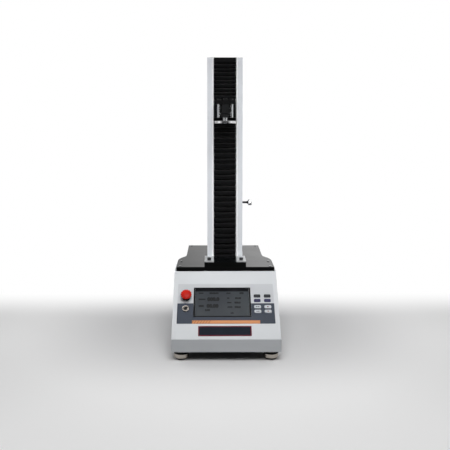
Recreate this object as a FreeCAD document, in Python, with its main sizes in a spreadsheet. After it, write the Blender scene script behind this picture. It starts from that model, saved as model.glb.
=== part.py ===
# Force test stand: a console on levelling feet, a table plate, and a column with a screw-driven crosshead.
# Millimetres. The origin is on the bench under the middle of the base, +X right, +Y back, +Z up.
import FreeCAD, Part
import math
import os
import Sketcher

DIMENSIONS = {
    # console housing
    "base_width": 340, "base_depth": 586, "rear_width": 272, "wall": 2.5, "bend_radius": 4,
    "front_height": 40, "slope_run": 185, "slope_rise": 172,
    "shoulder_start": 105, "shoulder_length": 100, "shoulder_share": 0.65,
    "bottom_thickness": 6, "fit_gap": 0.3, "running_gap": 0.06,
    "vent_width": 60, "vent_height": 4, "vent_pitch": 9, "vent_rows": 6, "vent_floor": 60,
    # levelling feet
    "foot_height": 30, "foot_inset_x": 29.5, "foot_inset_y": 32, "pad_diameter": 46.5, "pad_edge": 7,
    "pad_base_diameter": 31, "pad_height": 23, "pad_chamfer": 1.5, "stud_diameter": 10, "stud_reach": 18,
    "locknut_width": 17, "locknut_height": 6,
    # table plate and column foot
    "table_front_width": 330, "table_rear_width": 276, "table_thickness": 14, "table_screw_inset": 13,
    "table_screw_diameter": 7, "table_screw_head": 2.5,
    "block_width": 140, "block_depth": 240, "block_height": 16, "block_ledge": 2.5, "block_ledge_height": 5,
    "foot_plate_thickness": 4,
    "column_screw_head": 13, "column_screw_height": 8, "column_screw_front": 20, "column_screw_rear": 18,
    "screw_shank": 8, "screw_grip": 12,
    # column
    "column_setback": 90, "column_width": 122, "column_depth": 110, "column_height": 686,
    "channel_width": 77, "channel_depth": 100, "lip_bevel": 4, "profile_wall": 3, "end_cap_thickness": 2,
    "top_plate_thickness": 12,
    # limit stop in the right side of the column
    "stop_height": 458, "stop_slot_width": 8, "stop_slot_low": 320, "stop_slot_high": 700,
    "stop_block_height": 30, "stop_block_depth": 34, "stop_finger": 3,
    "thumb_shank_diameter": 7, "thumb_shank_length": 22, "thumb_head_diameter": 20.5, "thumb_head_length": 13.5,
    # linear guides and carriage
    "rail_width": 12, "rail_height": 8, "rail_offset": 20, "rail_margin": 12,
    "runner_width": 27, "runner_foot": 3, "runner_height": 13, "runner_length": 22,
    "carriage_width": 68, "carriage_depth": 45,
    # crosshead
    "crosshead_rest": 481, "crosshead_height": 57, "arm_width": 72, "arm_front_width": 62,
    "arm_root_front": 22, "arm_reach": 84, "arm_plate": 12, "arm_fillet": 10,
    "test_axis_setback": 60, "cell_width": 24, "cell_depth": 44, "cell_slot": 2.5, "cell_hole": 12,
    "cell_slot_edge": 12, "post_diameter": 13, "post_offset": 20, "post_nut": 13, "post_nut_height": 6,
    "stem_diameter": 13.6, "stem_length": 11.4, "stem_thread": 8, "stem_grip": 6,
    "platen_diameter": 72, "platen_thickness": 8, "platen_edge": 1, "fixture_hole": 10,
    # bellows
    "bellows_width": 76, "bellows_front": 2, "bellows_fold": 26, "bellows_cloth": 1.2,
    "lower_pleats": 26, "upper_pleats": 10,
    # ball screw drive
    "screw_setback": 62, "screw_diameter": 16, "lower_journal": 12, "upper_journal": 8, "journal_hole": 20,
    "thread_start": 4, "nut_diameter": 28, "nut_flange": 40, "nut_flange_thickness": 8, "nut_length": 44,
    "bearing_block_width": 70, "bearing_block_height": 28, "lower_bearing_diameter": 32,
    "lower_bearing_height": 10, "upper_bearing_diameter": 22, "upper_bearing_height": 7,
    "pulley_level": 176, "belt_width": 16, "flange_lip": 2, "tooth_pitch": 5, "tooth_depth": 1.4,
    "screw_teeth": 40, "motor_teeth": 20, "belt_thickness": 2.4, "belt_gap": 0.3,
    "motor_setback": 100, "motor_width": 86, "motor_height": 90, "motor_corner": 8, "motor_shaft": 14,
    "motor_pilot": 73, "bracket_plate": 6, "bracket_side": 6, "bracket_depth": 100, "bracket_gap": 8,
    "shaft_grip": 12,
    # electronics inside the console
    "supply_width": 98, "supply_length": 160, "supply_height": 42, "supply_x": -106, "supply_y": 90,
    "board_width": 110, "board_length": 130, "board_thickness": 1.6, "board_lift": 8, "board_x": 92,
    "board_y": 90, "chip_size": 24, "chip_height": 6, "terminal_width": 90, "terminal_depth": 12,
    "terminal_height": 14, "standoff_diameter": 7, "standoff_inset": 8,
    # control slope: positions are along the slope from its lower edge
    "overlay_width": 312, "overlay_low": 54.5, "overlay_high": 201, "overlay_thickness": 0.8,
    "overlay_corner": 2,
    "screen_x": -11.5, "screen_s": 132.6, "bezel_width": 185, "bezel_height": 108, "bezel_lip": 1.2,
    "bezel_side": 5, "bezel_top": 2.5, "window_seat": 4, "glass_recess": 0.6, "module_depth": 7,
    "key_width": 21.5, "key_height": 11, "key_corner": 3.5, "key_proud": 1.4, "key_travel": 1,
    "key_left_x": 102, "key_column_pitch": 33, "key_top_s": 154.8, "key_row_pitch": 16.8,
    "key_pair_pitch": 40.2, "key_depth": 4, "key_gap": 0.4, "switch_size": 6,
    "switch_height": 3.5, "keypad_margin": 8, "keypad_post": 6,
    "estop_x": -128, "estop_s": 150.5, "estop_collar": 27, "estop_collar_height": 6, "estop_barrel": 22,
    "estop_barrel_depth": 16, "estop_block_width": 28, "estop_block_height": 36, "estop_block_depth": 26,
    "estop_stem": 14, "estop_head_diameter": 36, "estop_head_thickness": 10.5, "estop_travel": 6,
    "estop_dome": 2.5, "estop_crown_diameter": 25, "estop_skirt": 3, "estop_socket": 6, "estop_nut": 30,
    "estop_nut_height": 4,
    "switch_x": -128.7, "switch_s": 107.7, "switch_bezel": 22.4, "switch_bezel_height": 3.5,
    "switch_barrel": 18, "switch_barrel_depth": 24, "switch_nut": 23, "switch_nut_height": 4,
    "core_diameter": 12, "core_depth": 15, "core_proud": 1, "keyway_length": 7, "keyway_width": 1.6,
    "keyway_depth": 5,
    "plate_x": -4, "plate_s": 28.6, "plate_width": 167, "plate_height": 34.6, "plate_thickness": 1,
    "plate_corner": 1.5,
    # mains inlet in the rear panel
    "inlet_x": -70, "inlet_z": 95, "inlet_width": 30, "inlet_height": 22, "inlet_flange_width": 48,
    "inlet_flange_height": 28, "inlet_flange": 2.5, "inlet_depth": 24, "inlet_wall": 2.5,
    "inlet_cavity_depth": 18, "pin_width": 2, "pin_height": 4, "pin_length": 12, "pin_spread": 7,
}


class Size:
    """A length that carries its spreadsheet expression beside its present value."""

    def __init__(self, text, value):
        self.text = text
        self.value = value

    def __add__(self, other):
        other = as_size(other)
        return Size(f"({self.text} + {other.text})", self.value + other.value)

    def __radd__(self, other):
        return as_size(other) + self

    def __sub__(self, other):
        other = as_size(other)
        return Size(f"({self.text} - {other.text})", self.value - other.value)

    def __rsub__(self, other):
        return as_size(other) - self

    def __mul__(self, other):
        other = as_size(other)
        return Size(f"({self.text} * {other.text})", self.value * other.value)

    def __rmul__(self, other):
        return as_size(other) * self

    def __truediv__(self, other):
        other = as_size(other)
        return Size(f"({self.text} / {other.text})", self.value / other.value)

    def __neg__(self):
        return Size(f"(-{self.text})", -self.value)


def as_size(number):
    return number if isinstance(number, Size) else Size(f"({number})", float(number))


def root(size):
    return Size(f"sqrt({size.text})", math.sqrt(size.value))


document = FreeCAD.newDocument("force_test_stand")
sheet = document.addObject("Spreadsheet::Sheet", "sizes")
for row, (alias, number) in enumerate(DIMENSIONS.items(), start=1):
    sheet.set(f"A{row}", alias)
    sheet.set(f"B{row}", str(number))
    sheet.setAlias(f"B{row}", alias)
document.recompute()


class Dimensions:
    """Gives each named cell of the sheet as a Size."""

    def __getattr__(self, alias):
        return Size(f"sizes.{alias}", float(sheet.get(alias)))


dim = Dimensions()
ZERO = as_size(0)
nodes = {}

# Levels and lines that many pieces share.
front_y = -(dim.base_depth + dim.inlet_flange) / 2
rear_y = front_y + dim.base_depth
slope_foot_z = dim.foot_height + dim.front_height
base_top = slope_foot_z + dim.slope_rise
table_top = base_top + dim.table_thickness
block_top = table_top + dim.block_height
column_foot = block_top + dim.foot_plate_thickness
column_top = column_foot + dim.column_height
table_front = front_y + dim.slope_run
column_front = table_front + dim.column_setback
channel_back = column_front + dim.channel_depth
column_back = column_front + dim.column_depth
test_axis_y = column_front - dim.test_axis_setback
screw_y = column_front + dim.screw_setback
motor_y = screw_y + dim.motor_setback
crosshead_bottom = column_foot + dim.crosshead_rest
crosshead_top = crosshead_bottom + dim.crosshead_height
slope_length = root(dim.slope_run * dim.slope_run + dim.slope_rise * dim.slope_rise)
slope_cosine = dim.slope_run / slope_length
slope_sine = dim.slope_rise / slope_length
slope_angle_text = "atan2(sizes.slope_rise; sizes.slope_run)"


def bind(thing, name, size):
    """Binds one property, or one sketch constraint, to the sheet."""
    thing.setExpression(name, as_size(size).text)


def bind_place(thing, place, name="Placement"):
    for axis, size in zip("xyz", place):
        bind(thing, f"{name}.Base.{axis}", size)


def new_body(label):
    body = document.addObject("PartDesign::Body", label)
    body.Label = label
    return body


def arc_piece(start, end, radius):
    """A circular edge from start to end; a positive radius bulges to the right of the way along."""
    chord = end - start
    size = abs(radius)
    rise = math.sqrt(max(size ** 2 - (chord.Length / 2) ** 2, 0))
    across = FreeCAD.Vector(-chord.y, chord.x, 0).normalize()
    centre = (start + end) / 2 + across * (rise if radius > 0 else -rise)
    first, last = (start, end) if radius > 0 else (end, start)
    angles = [math.atan2(p.y - centre.y, p.x - centre.x) for p in (first, last)]
    if angles[1] < angles[0]:
        angles[1] += 2 * math.pi
    circle = Part.Circle(centre, FreeCAD.Vector(0, 0, 1), size)
    return Part.ArcOfCircle(circle, *angles), radius > 0


def add_loop(sketch, loop):
    """Adds a closed outline: corners (x, y), or (x, y, radius) where an arc leads on to the next one."""
    first = sketch.GeometryCount
    corners = [tuple(as_size(part) for part in corner) for corner in loop]
    points = [FreeCAD.Vector(corner[0].value, corner[1].value, 0) for corner in corners]
    heads = []
    for index, corner in enumerate(corners):
        start, end = points[index], points[(index + 1) % len(points)]
        if len(corner) == 3:
            edge, forward = arc_piece(start, end, corner[2].value)
        else:
            edge, forward = Part.LineSegment(start, end), True
        sketch.addGeometry(edge, False)
        heads.append((1, 2) if forward else (2, 1))
    for index, corner in enumerate(corners):
        after = (index + 1) % len(corners)
        sketch.addConstraint(Sketcher.Constraint(
            "Coincident", first + index, heads[index][1], first + after, heads[after][0]))
        for kind, size in zip(("DistanceX", "DistanceY"), corner):
            number = sketch.addConstraint(Sketcher.Constraint(
                kind, -1, 1, first + index, heads[index][0], size.value))
            bind(sketch, f"Constraints[{number}]", size)
        if len(corner) == 3:
            radius = corner[2] if corner[2].value > 0 else -corner[2]
            number = sketch.addConstraint(Sketcher.Constraint("Radius", first + index, radius.value))
            bind(sketch, f"Constraints[{number}]", radius)


def add_circle(sketch, centre_x, centre_y, radius):
    centre_x, centre_y, radius = as_size(centre_x), as_size(centre_y), as_size(radius)
    centre = FreeCAD.Vector(centre_x.value, centre_y.value, 0)
    index = sketch.addGeometry(Part.Circle(centre, FreeCAD.Vector(0, 0, 1), radius.value), False)
    for kind, size in (("DistanceX", centre_x), ("DistanceY", centre_y)):
        number = sketch.addConstraint(Sketcher.Constraint(kind, -1, 1, index, 3, size.value))
        bind(sketch, f"Constraints[{number}]", size)
    number = sketch.addConstraint(Sketcher.Constraint("Radius", index, radius.value))
    bind(sketch, f"Constraints[{number}]", radius)


def new_sketch(body, loops=(), circles=(), plane="XY", lift=ZERO, on_slope=False):
    """A sketch on one of the body's own planes, lifted along it, or laid on the control slope."""
    sketch = body.newObject("Sketcher::SketchObject", body.Name + "_sketch")
    support = [f for f in body.Origin.OriginFeatures if f.Role == plane + "_Plane"][0]
    sketch.AttachmentSupport = [(support, "")]
    sketch.MapMode = "FlatFace"
    if on_slope:
        sketch.AttachmentOffset = FreeCAD.Placement(
            FreeCAD.Vector(), FreeCAD.Rotation(FreeCAD.Vector(1, 0, 0), 1))
        sketch.setExpression("AttachmentOffset.Rotation.Angle", slope_angle_text)
        bind_place(sketch, (ZERO, front_y, slope_foot_z), "AttachmentOffset")
    else:
        bind(sketch, "AttachmentOffset.Base.z", lift)
    for loop in loops:
        add_loop(sketch, loop)
    for circle in circles:
        add_circle(sketch, *circle)
    return sketch


def add_feature(body, kind, length, reverse=False, **sketch_parts):
    """A Pad or Pocket of a new sketch."""
    sketch = new_sketch(body, **sketch_parts)
    feature = body.newObject("PartDesign::" + kind, body.Name + "_" + kind.lower())
    feature.Profile = sketch
    feature.Reversed = reverse
    bind(feature, "Length", length)
    sketch.Visibility = False
    return feature


def turn(body, profile):
    """A solid of revolution about the body's Z axis, from an (r, z) outline."""
    sketch = new_sketch(body, loops=[profile], plane="XZ")
    feature = body.newObject("PartDesign::Revolution", body.Name + "_turned")
    feature.Profile = sketch
    feature.ReferenceAxis = (sketch, ["V_Axis"])
    feature.Angle = 360
    return feature


def repeat(body, feature, kind, direction, occurrences, length=None):
    """A LinearPattern or PolarPattern of one feature, which becomes the body's tip."""
    pattern = body.newObject("PartDesign::" + kind, body.Name + "_pattern")
    pattern.Originals = [feature]
    role = {"X": "X_Axis", "Y": "Y_Axis", "Z": "Z_Axis"}[direction]
    axis = [f for f in body.Origin.OriginFeatures if f.Role == role][0]
    if kind == "LinearPattern":
        pattern.Direction = (axis, [""])
        bind(pattern, "Length", length)
    else:
        pattern.Axis = (axis, [""])
        pattern.Angle = 360
    bind(pattern, "Occurrences", occurrences)
    body.Tip = pattern
    return pattern


def place(thing, x=ZERO, y=ZERO, z=ZERO):
    bind_place(thing, (x, y, z))
    return thing


def place_on_slope(thing, x, along, lift=ZERO):
    """Stands a piece on the control slope, its local Z along the slope's outward normal."""
    thing.Placement = FreeCAD.Placement(FreeCAD.Vector(), FreeCAD.Rotation(FreeCAD.Vector(1, 0, 0), 1))
    thing.setExpression("Placement.Rotation.Angle", slope_angle_text)
    bind_place(thing, (x, front_y + along * slope_cosine - lift * slope_sine,
                       slope_foot_z + along * slope_sine + lift * slope_cosine))
    return thing


def keep(label, thing):
    """Registers a finished piece under its own name."""
    thing.Label = label
    nodes[label] = thing
    return thing


def rectangle(left, front, right, back):
    return [(left, front), (right, front), (right, back), (left, back)]


def centred(width, height, x=ZERO, y=ZERO):
    return rectangle(x - width / 2, y - height / 2, x + width / 2, y + height / 2)


def rounded(width, height, radius, x=ZERO, y=ZERO):
    """A rectangle whose corners are quarter circles."""
    left, right = x - width / 2, x + width / 2
    low, high = y - height / 2, y + height / 2
    return [(left + radius, low), (right - radius, low, radius), (right, low + radius),
            (right, high - radius, radius), (right - radius, high), (left + radius, high, radius),
            (left, high - radius), (left, low + radius, radius)]


def hexagon(width):
    """A regular hexagon, width across its flats."""
    half = width / 2
    point = width / root(as_size(3))
    return [(point, ZERO), (point / 2, half), (-point / 2, half),
            (-point, ZERO), (-point / 2, -half), (point / 2, -half)]


def stepped_plan(front_half, rear_half, front, back):
    """Plan of the console: wide in front, narrow behind, joined by an S of two tangent arcs each side."""
    start = front_y + dim.slope_run + dim.shoulder_start
    end = start + dim.shoulder_length
    step = front_half - rear_half
    bend = (step * step + dim.shoulder_length * dim.shoulder_length) / (2 * step)
    middle = (front_half - step * dim.shoulder_share, start + dim.shoulder_length * dim.shoulder_share)
    outer, inner = bend * dim.shoulder_share, bend * (1 - dim.shoulder_share)
    return [(-front_half, front), (front_half, front), (front_half, start, outer),
            (middle[0], middle[1], -inner), (rear_half, end), (rear_half, back),
            (-rear_half, back), (-rear_half, end, -inner), (-middle[0], middle[1], outer),
            (-front_half, start)]


def plain_plan(front_half, rear_half, front, back):
    """The same plan inside the walls, with a square step."""
    step_y = front_y + dim.slope_run + dim.shoulder_start - dim.wall
    return [(-front_half, front), (front_half, front), (front_half, step_y), (rear_half, step_y),
            (rear_half, back), (-rear_half, back), (-rear_half, step_y), (-front_half, step_y)]


def key_places():
    """Centres of the eight keys on the slope, column by column from the top."""
    places = []
    for column in range(2):
        for pair in range(2):
            for line in range(2):
                x = dim.key_left_x + column * dim.key_column_pitch
                along = dim.key_top_s - pair * dim.key_pair_pitch - line * dim.key_row_pitch
                places.append((x, along))
    return places


def foot_places():
    """Names and centres of the four levelling feet."""
    front_x = dim.base_width / 2 - dim.foot_inset_x
    rear_x = dim.rear_width / 2 - dim.foot_inset_x
    front_line, rear_line = front_y + dim.foot_inset_y, rear_y - dim.foot_inset_y
    return {"foot_front_left": (-front_x, front_line), "foot_front_right": (front_x, front_line),
            "foot_rear_left": (-rear_x, rear_line), "foot_rear_right": (rear_x, rear_line)}


def group(label, things):
    """Several separate solids kept as one piece, such as a set of screws."""
    compound = document.addObject("Part::Compound", label)
    compound.Links = things
    return keep(label, compound)


def socket_screw(head, height, shank, grip, place_at):
    """A socket-head screw, its seat under the head at the given place."""
    cap = document.addObject("Part::Cylinder", "screw_head")
    bind(cap, "Radius", head / 2)
    bind(cap, "Height", height)
    stem = document.addObject("Part::Cylinder", "screw_shank")
    bind(stem, "Radius", shank / 2)
    bind(stem, "Height", grip)
    bind(stem, "Placement.Base.z", -grip)
    blank = document.addObject("Part::Fuse", "screw_blank")
    blank.Base, blank.Tool = cap, stem
    key = document.addObject("Part::Prism", "screw_socket")
    key.Polygon = 6
    bind(key, "Circumradius", head / 4)
    bind(key, "Height", height)
    bind(key, "Placement.Base.z", height / 2)
    screw = document.addObject("Part::Cut", "socket_screw")
    screw.Base, screw.Tool = blank, key
    return place(screw, *place_at)


def ring(outer, inner, low, height, x=ZERO, y=ZERO):
    """A plain ring about a vertical line."""
    body = new_body("ring")
    add_feature(body, "Pad", height, circles=[(ZERO, ZERO, outer), (ZERO, ZERO, inner)])
    return place(body, x, y, low)


# Console

def window_size():
    """The opening behind the display glass, smaller than the glass by a seat all round."""
    return (dim.bezel_width - 2 * (dim.bezel_side + dim.window_seat),
            dim.bezel_height - 2 * (dim.bezel_top + dim.window_seat))


def make_base_housing():
    """A welded sheet console, open behind: side profile extruded, shoulders cut in plan, hollowed, cut out."""
    wall, half, rear_half = dim.wall, dim.base_width / 2, dim.rear_width / 2
    body = new_body("base_housing")
    lean = (slope_length - dim.slope_rise) / dim.slope_run
    lead = (slope_length - dim.slope_run) / dim.slope_rise
    bend = dim.bend_radius
    fold_low, fold_high = bend * lean, bend * lead
    outline = [(front_y, dim.foot_height), (rear_y, dim.foot_height), (rear_y, base_top),
               (table_front + fold_high, base_top, bend),
               (table_front - fold_high * slope_cosine, base_top - fold_high * slope_sine),
               (front_y + fold_low * slope_cosine, slope_foot_z + fold_low * slope_sine, bend),
               (front_y, slope_foot_z - fold_low)]
    add_feature(body, "Pad", dim.base_width, loops=[outline], plane="YZ", lift=-half)
    around = rectangle(-half - wall, front_y - wall, half + wall, rear_y + wall)
    add_feature(body, "Pocket", base_top, lift=base_top,
                loops=[around, stepped_plan(half, rear_half, front_y, rear_y)])
    step_y = table_front + dim.shoulder_start - wall
    for inner_half, back in ((half - wall, step_y), (rear_half - wall, rear_y + wall)):
        hollow = [(front_y + wall, dim.foot_height), (back, dim.foot_height), (back, base_top - wall),
                  (table_front + wall * lead, base_top - wall), (front_y + wall, slope_foot_z - wall * lean)]
        add_feature(body, "Pocket", 2 * inner_half, reverse=True, loops=[hollow], plane="YZ", lift=-inner_half)
    gap = 2 * dim.key_gap
    windows = [centred(*window_size(), dim.screen_x, dim.screen_s)]
    windows += [rounded(dim.key_width + gap, dim.key_height + gap, dim.key_corner, x, along)
                for x, along in key_places()]
    holes = [(dim.estop_x, dim.estop_s, dim.estop_barrel / 2 + dim.fit_gap),
             (dim.switch_x, dim.switch_s, dim.switch_barrel / 2 + dim.fit_gap)]
    add_feature(body, "Pocket", 2 * wall, loops=windows, circles=holes, on_slope=True)
    add_feature(body, "Pocket", 2 * wall, lift=base_top, circles=[(ZERO, screw_y, dim.journal_hole / 2)])
    keep("base_housing", body)


def make_rear_panel():
    """The sheet that closes the console behind, with the inlet's cut-out and the vents."""
    half = dim.rear_width / 2 - dim.wall - dim.fit_gap
    inlet = centred(dim.inlet_width + 2 * dim.fit_gap, dim.inlet_height + 2 * dim.fit_gap,
                    dim.inlet_x, dim.inlet_z)
    vents = [centred(dim.vent_width, dim.vent_height, -dim.inlet_x, dim.vent_floor + dim.vent_pitch * row)
             for row in range(DIMENSIONS["vent_rows"])]
    panel = rectangle(-half, dim.foot_height, half, base_top - dim.wall - dim.fit_gap)
    body = new_body("rear_panel")
    add_feature(body, "Pad", dim.wall, loops=[panel, inlet] + vents, plane="XZ", lift=-rear_y)
    keep("rear_panel", body)


def make_bottom_plate():
    inset = dim.wall + dim.fit_gap
    body = new_body("bottom_plate")
    plan = plain_plan(dim.base_width / 2 - inset, dim.rear_width / 2 - inset, front_y + inset, rear_y - inset)
    holes = [(x, y, dim.stud_diameter / 2 + dim.running_gap) for x, y in foot_places().values()]
    add_feature(body, "Pad", dim.bottom_thickness, loops=[plan], circles=holes, lift=dim.foot_height)
    keep("bottom_plate", body)


def make_feet():
    """Turned cups on studs, tapered to the bench, each with a locknut under the console."""
    stud, half = dim.stud_diameter / 2, dim.pad_diameter / 2
    top = dim.foot_height + dim.stud_reach
    profile = [(0, 0), (dim.pad_base_diameter / 2, 0), (half, dim.pad_edge),
               (half, dim.pad_height - dim.pad_chamfer), (half - dim.pad_chamfer, dim.pad_height),
               (stud, dim.pad_height), (stud, top), (0, top)]
    nuts = []
    for label, (x, y) in foot_places().items():
        foot = new_body(label)
        turn(foot, profile)
        keep(label, place(foot, x, y))
        nut = new_body("locknut")
        add_feature(nut, "Pad", dim.locknut_height, loops=[hexagon(dim.locknut_width)],
                    circles=[(ZERO, ZERO, stud + dim.running_gap)])
        nuts.append(place(nut, x, y, dim.foot_height - dim.locknut_height))
    group("foot_locknuts", nuts)


def table_screw_places():
    inset = dim.table_screw_inset
    front_x, rear_x = dim.table_front_width / 2 - inset, dim.table_rear_width / 2 - inset
    middle = table_front + dim.shoulder_start
    return [(side * x, y) for side in (-1, 1)
            for x, y in ((front_x, table_front + inset), (rear_x, rear_y - inset), (front_x, middle - inset))]


def column_screw_places():
    front_x, rear_x = [(width + dim.channel_width) / 4 for width in (dim.block_width, dim.column_width)]
    return [(side * x, y) for side in (-1, 1)
            for x, y in ((front_x, table_front + dim.column_screw_front),
                         (rear_x, table_front + dim.block_depth - dim.column_screw_rear))]


def make_table():
    """The black table plate, the stepped block on it and their screws."""
    shank = dim.table_screw_diameter / 4
    plate = new_body("table_plate")
    holes = [(x, y, shank + dim.fit_gap) for x, y in table_screw_places()]
    plan = stepped_plan(dim.table_front_width / 2, dim.table_rear_width / 2, table_front, rear_y)
    add_feature(plate, "Pad", dim.table_thickness, loops=[plan], lift=base_top,
                circles=holes + [(ZERO, screw_y, dim.journal_hole / 2)])
    keep("table_plate", plate)
    group("table_screws", [
        socket_screw(dim.table_screw_diameter, dim.table_screw_head, 2 * shank,
                     dim.table_thickness - dim.fit_gap, (x, y, table_top))
        for x, y in table_screw_places()])

    half, narrow, back = dim.block_width / 2, dim.column_width / 2, table_front + dim.block_depth
    block = new_body("column_base_block")
    low, ledge = table_top, table_top + dim.block_ledge_height
    for front, level, height in ((table_front, low, dim.block_ledge_height),
                                 (table_front + dim.block_ledge, ledge,
                                  dim.block_height - dim.block_ledge_height)):
        add_feature(block, "Pad", height, lift=level, loops=[[
            (-half, front), (half, front), (half, column_front), (narrow, column_front), (narrow, back),
            (-narrow, back), (-narrow, column_front), (-half, column_front)]])
    add_feature(block, "Pocket", dim.block_height, lift=block_top,
                circles=[(ZERO, screw_y, dim.journal_hole / 2), (ZERO, test_axis_y, dim.fixture_hole / 2)])
    add_feature(block, "Pocket", dim.screw_grip - dim.foot_plate_thickness + dim.fit_gap, lift=block_top,
                circles=[(x, y, dim.screw_shank / 2 + dim.fit_gap) for x, y in column_screw_places()])
    keep("column_base_block", block)


# Column

def make_column():
    """An extruded C profile with hollow sides, on two foot plates, closed above by caps and a bearing plate."""
    half, channel, skin = dim.column_width / 2, dim.channel_width / 2, dim.profile_wall
    lip = channel + dim.lip_bevel
    body = new_body("column_extrusion")
    outer = [(-half, column_front), (-lip, column_front), (-channel, column_front + dim.lip_bevel),
             (-channel, channel_back), (channel, channel_back), (channel, column_front + dim.lip_bevel),
             (lip, column_front), (half, column_front), (half, column_back), (-half, column_back)]
    chambers = [rectangle(-half + skin, column_front + skin, -channel - skin, column_back - skin),
                rectangle(channel + skin, column_front + skin, half - skin, column_back - skin)]
    add_feature(body, "Pad", dim.column_height, loops=[outer] + chambers, lift=column_foot)
    slot = rectangle(stop_y - dim.stop_slot_width / 2, dim.stop_slot_low,
                     stop_y + dim.stop_slot_width / 2, dim.stop_slot_high)
    for outside in (half, channel + skin):
        add_feature(body, "Pocket", skin, loops=[slot], plane="YZ", lift=outside)
    keep("column_extrusion", body)

    caps, feet = [], []
    for side in (-1, 1):
        cap = new_body("end_cap")
        corner = [(side * lip, column_front), (side * half, column_front), (side * half, column_back),
                  (side * channel, column_back), (side * channel, column_front + dim.lip_bevel)]
        add_feature(cap, "Pad", dim.end_cap_thickness, loops=[corner], lift=column_top)
        caps.append(cap)
        foot = new_body("foot_plate")
        inner, outside = side * channel, side * dim.block_width / 2
        front, back = table_front + dim.block_ledge, table_front + dim.block_depth
        add_feature(foot, "Pad", dim.foot_plate_thickness, lift=block_top,
                    loops=[[(inner, front), (outside, front), (outside, column_front),
                            (side * half, column_front), (side * half, back), (inner, back)]],
                    circles=[(x, y, dim.screw_shank / 2 + dim.fit_gap)
                             for x, y in column_screw_places() if x.value * side > 0])
        feet.append(foot)
    group("column_end_caps", caps)
    group("column_feet", feet)
    group("column_screws", [
        socket_screw(dim.column_screw_head, dim.column_screw_height, dim.screw_shank, dim.screw_grip,
                     (x, y, column_foot)) for x, y in column_screw_places()])

    top = new_body("top_bearing_plate")
    inset = channel - dim.fit_gap
    add_feature(top, "Pad", dim.top_plate_thickness, lift=column_top - dim.top_plate_thickness,
                loops=[rectangle(-inset, column_front, inset, channel_back)])
    add_feature(top, "Pocket", dim.upper_bearing_height, reverse=True,
                lift=column_top - dim.top_plate_thickness,
                circles=[(ZERO, screw_y, dim.upper_bearing_diameter / 2 + dim.running_gap)])
    keep("top_bearing_plate", top)


def make_limit_stop():
    """A block that slides in the right side of the column, held by a thumbscrew through the slot."""
    half, channel, skin = dim.column_width / 2, dim.channel_width / 2, dim.profile_wall
    inner, outer = channel + skin + dim.fit_gap, half - skin - dim.fit_gap
    shank = dim.thumb_shank_diameter / 2
    block = new_body("stop_slider")
    add_feature(block, "Pad", outer - inner, plane="YZ", lift=inner,
                loops=[centred(dim.stop_block_depth, dim.stop_block_height, stop_y, dim.stop_height)])
    finger = dim.stop_slot_width - 2 * dim.fit_gap
    add_feature(block, "Pad", dim.stop_finger + skin + dim.fit_gap, plane="YZ", lift=channel - dim.stop_finger,
                loops=[centred(finger, finger, stop_y, dim.stop_height)])
    add_feature(block, "Pocket", outer - inner - skin, plane="YZ", lift=outer,
                circles=[(stop_y, dim.stop_height, shank + dim.running_gap)])
    keep("stop_slider", block)

    screw = new_body("stop_thumbscrew")
    start, neck = inner + skin + dim.fit_gap - half, dim.thumb_shank_length
    head, end = dim.thumb_head_diameter / 2, dim.thumb_shank_length + dim.thumb_head_length
    edge = dim.thumb_head_length / 4
    turn(screw, [(0, start), (shank, start), (shank, neck), (head - edge, neck), (head, neck + edge),
                 (head, end - edge), (head - edge, end), (0, end)])
    screw.Placement = FreeCAD.Placement(FreeCAD.Vector(), FreeCAD.Rotation(FreeCAD.Vector(0, 1, 0), 90))
    keep("stop_thumbscrew", place(screw, half, stop_y, dim.stop_height))


def make_guides():
    """Two profiled rails on the channel's back wall and four runners that wrap round them."""
    groove, half, height = dim.rail_height / 6, dim.rail_width / 2, dim.rail_height
    low, high = column_foot + dim.rail_margin, column_top - dim.top_plate_thickness - dim.rail_margin
    rails, runners = [], []
    for side in (-1, 1):
        x = side * dim.rail_offset
        rail = new_body("rail")
        add_feature(rail, "Pad", high - low, loops=[[
            (-half, -height), (half, -height), (half, -4 * groove), (half - groove, -3 * groove),
            (half, -2 * groove), (half, 0), (-half, 0), (-half, -2 * groove),
            (-half + groove, -3 * groove), (-half, -4 * groove)]])
        rails.append(place(rail, x, channel_back, low))
        wide, slot = dim.runner_width / 2, half + dim.fit_gap
        for level in (crosshead_bottom, crosshead_top - dim.runner_length):
            runner = new_body("runner")
            add_feature(runner, "Pad", dim.runner_length, loops=[[
                (-wide, -dim.runner_height), (wide, -dim.runner_height), (wide, -dim.runner_foot),
                (slot, -dim.runner_foot), (slot, -height - dim.fit_gap), (-slot, -height - dim.fit_gap),
                (-slot, -dim.runner_foot), (-wide, -dim.runner_foot)]])
            runners.append(place(runner, x, channel_back, level))
    group("guide_rails", rails)
    group("rail_runners", runners)


def make_bellows(label, low, high, pleats, count):
    """Pleated cloth across the channel's mouth: one fold, repeated up the column."""
    cloth = dim.bellows_cloth
    front, back = column_front, column_front + dim.bellows_fold - dim.bellows_front
    tip = column_front - dim.bellows_front
    pitch = (high - low) / count
    inner = back - cloth * 2 * (back - front) / pitch
    body = new_body(label)
    fold = add_feature(body, "Pad", dim.bellows_width, plane="YZ", lift=-dim.bellows_width / 2, loops=[[
        (tip, 0), (front, 0), (back, pitch / 2), (front, pitch), (tip, pitch), (tip, pitch - cloth),
        (front, pitch - cloth), (inner, pitch / 2), (front, cloth), (tip, cloth)]])
    repeat(body, fold, "LinearPattern", "Z", pleats, pitch * (count - 1))
    keep(label, place(body, z=low))


# Crosshead

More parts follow.
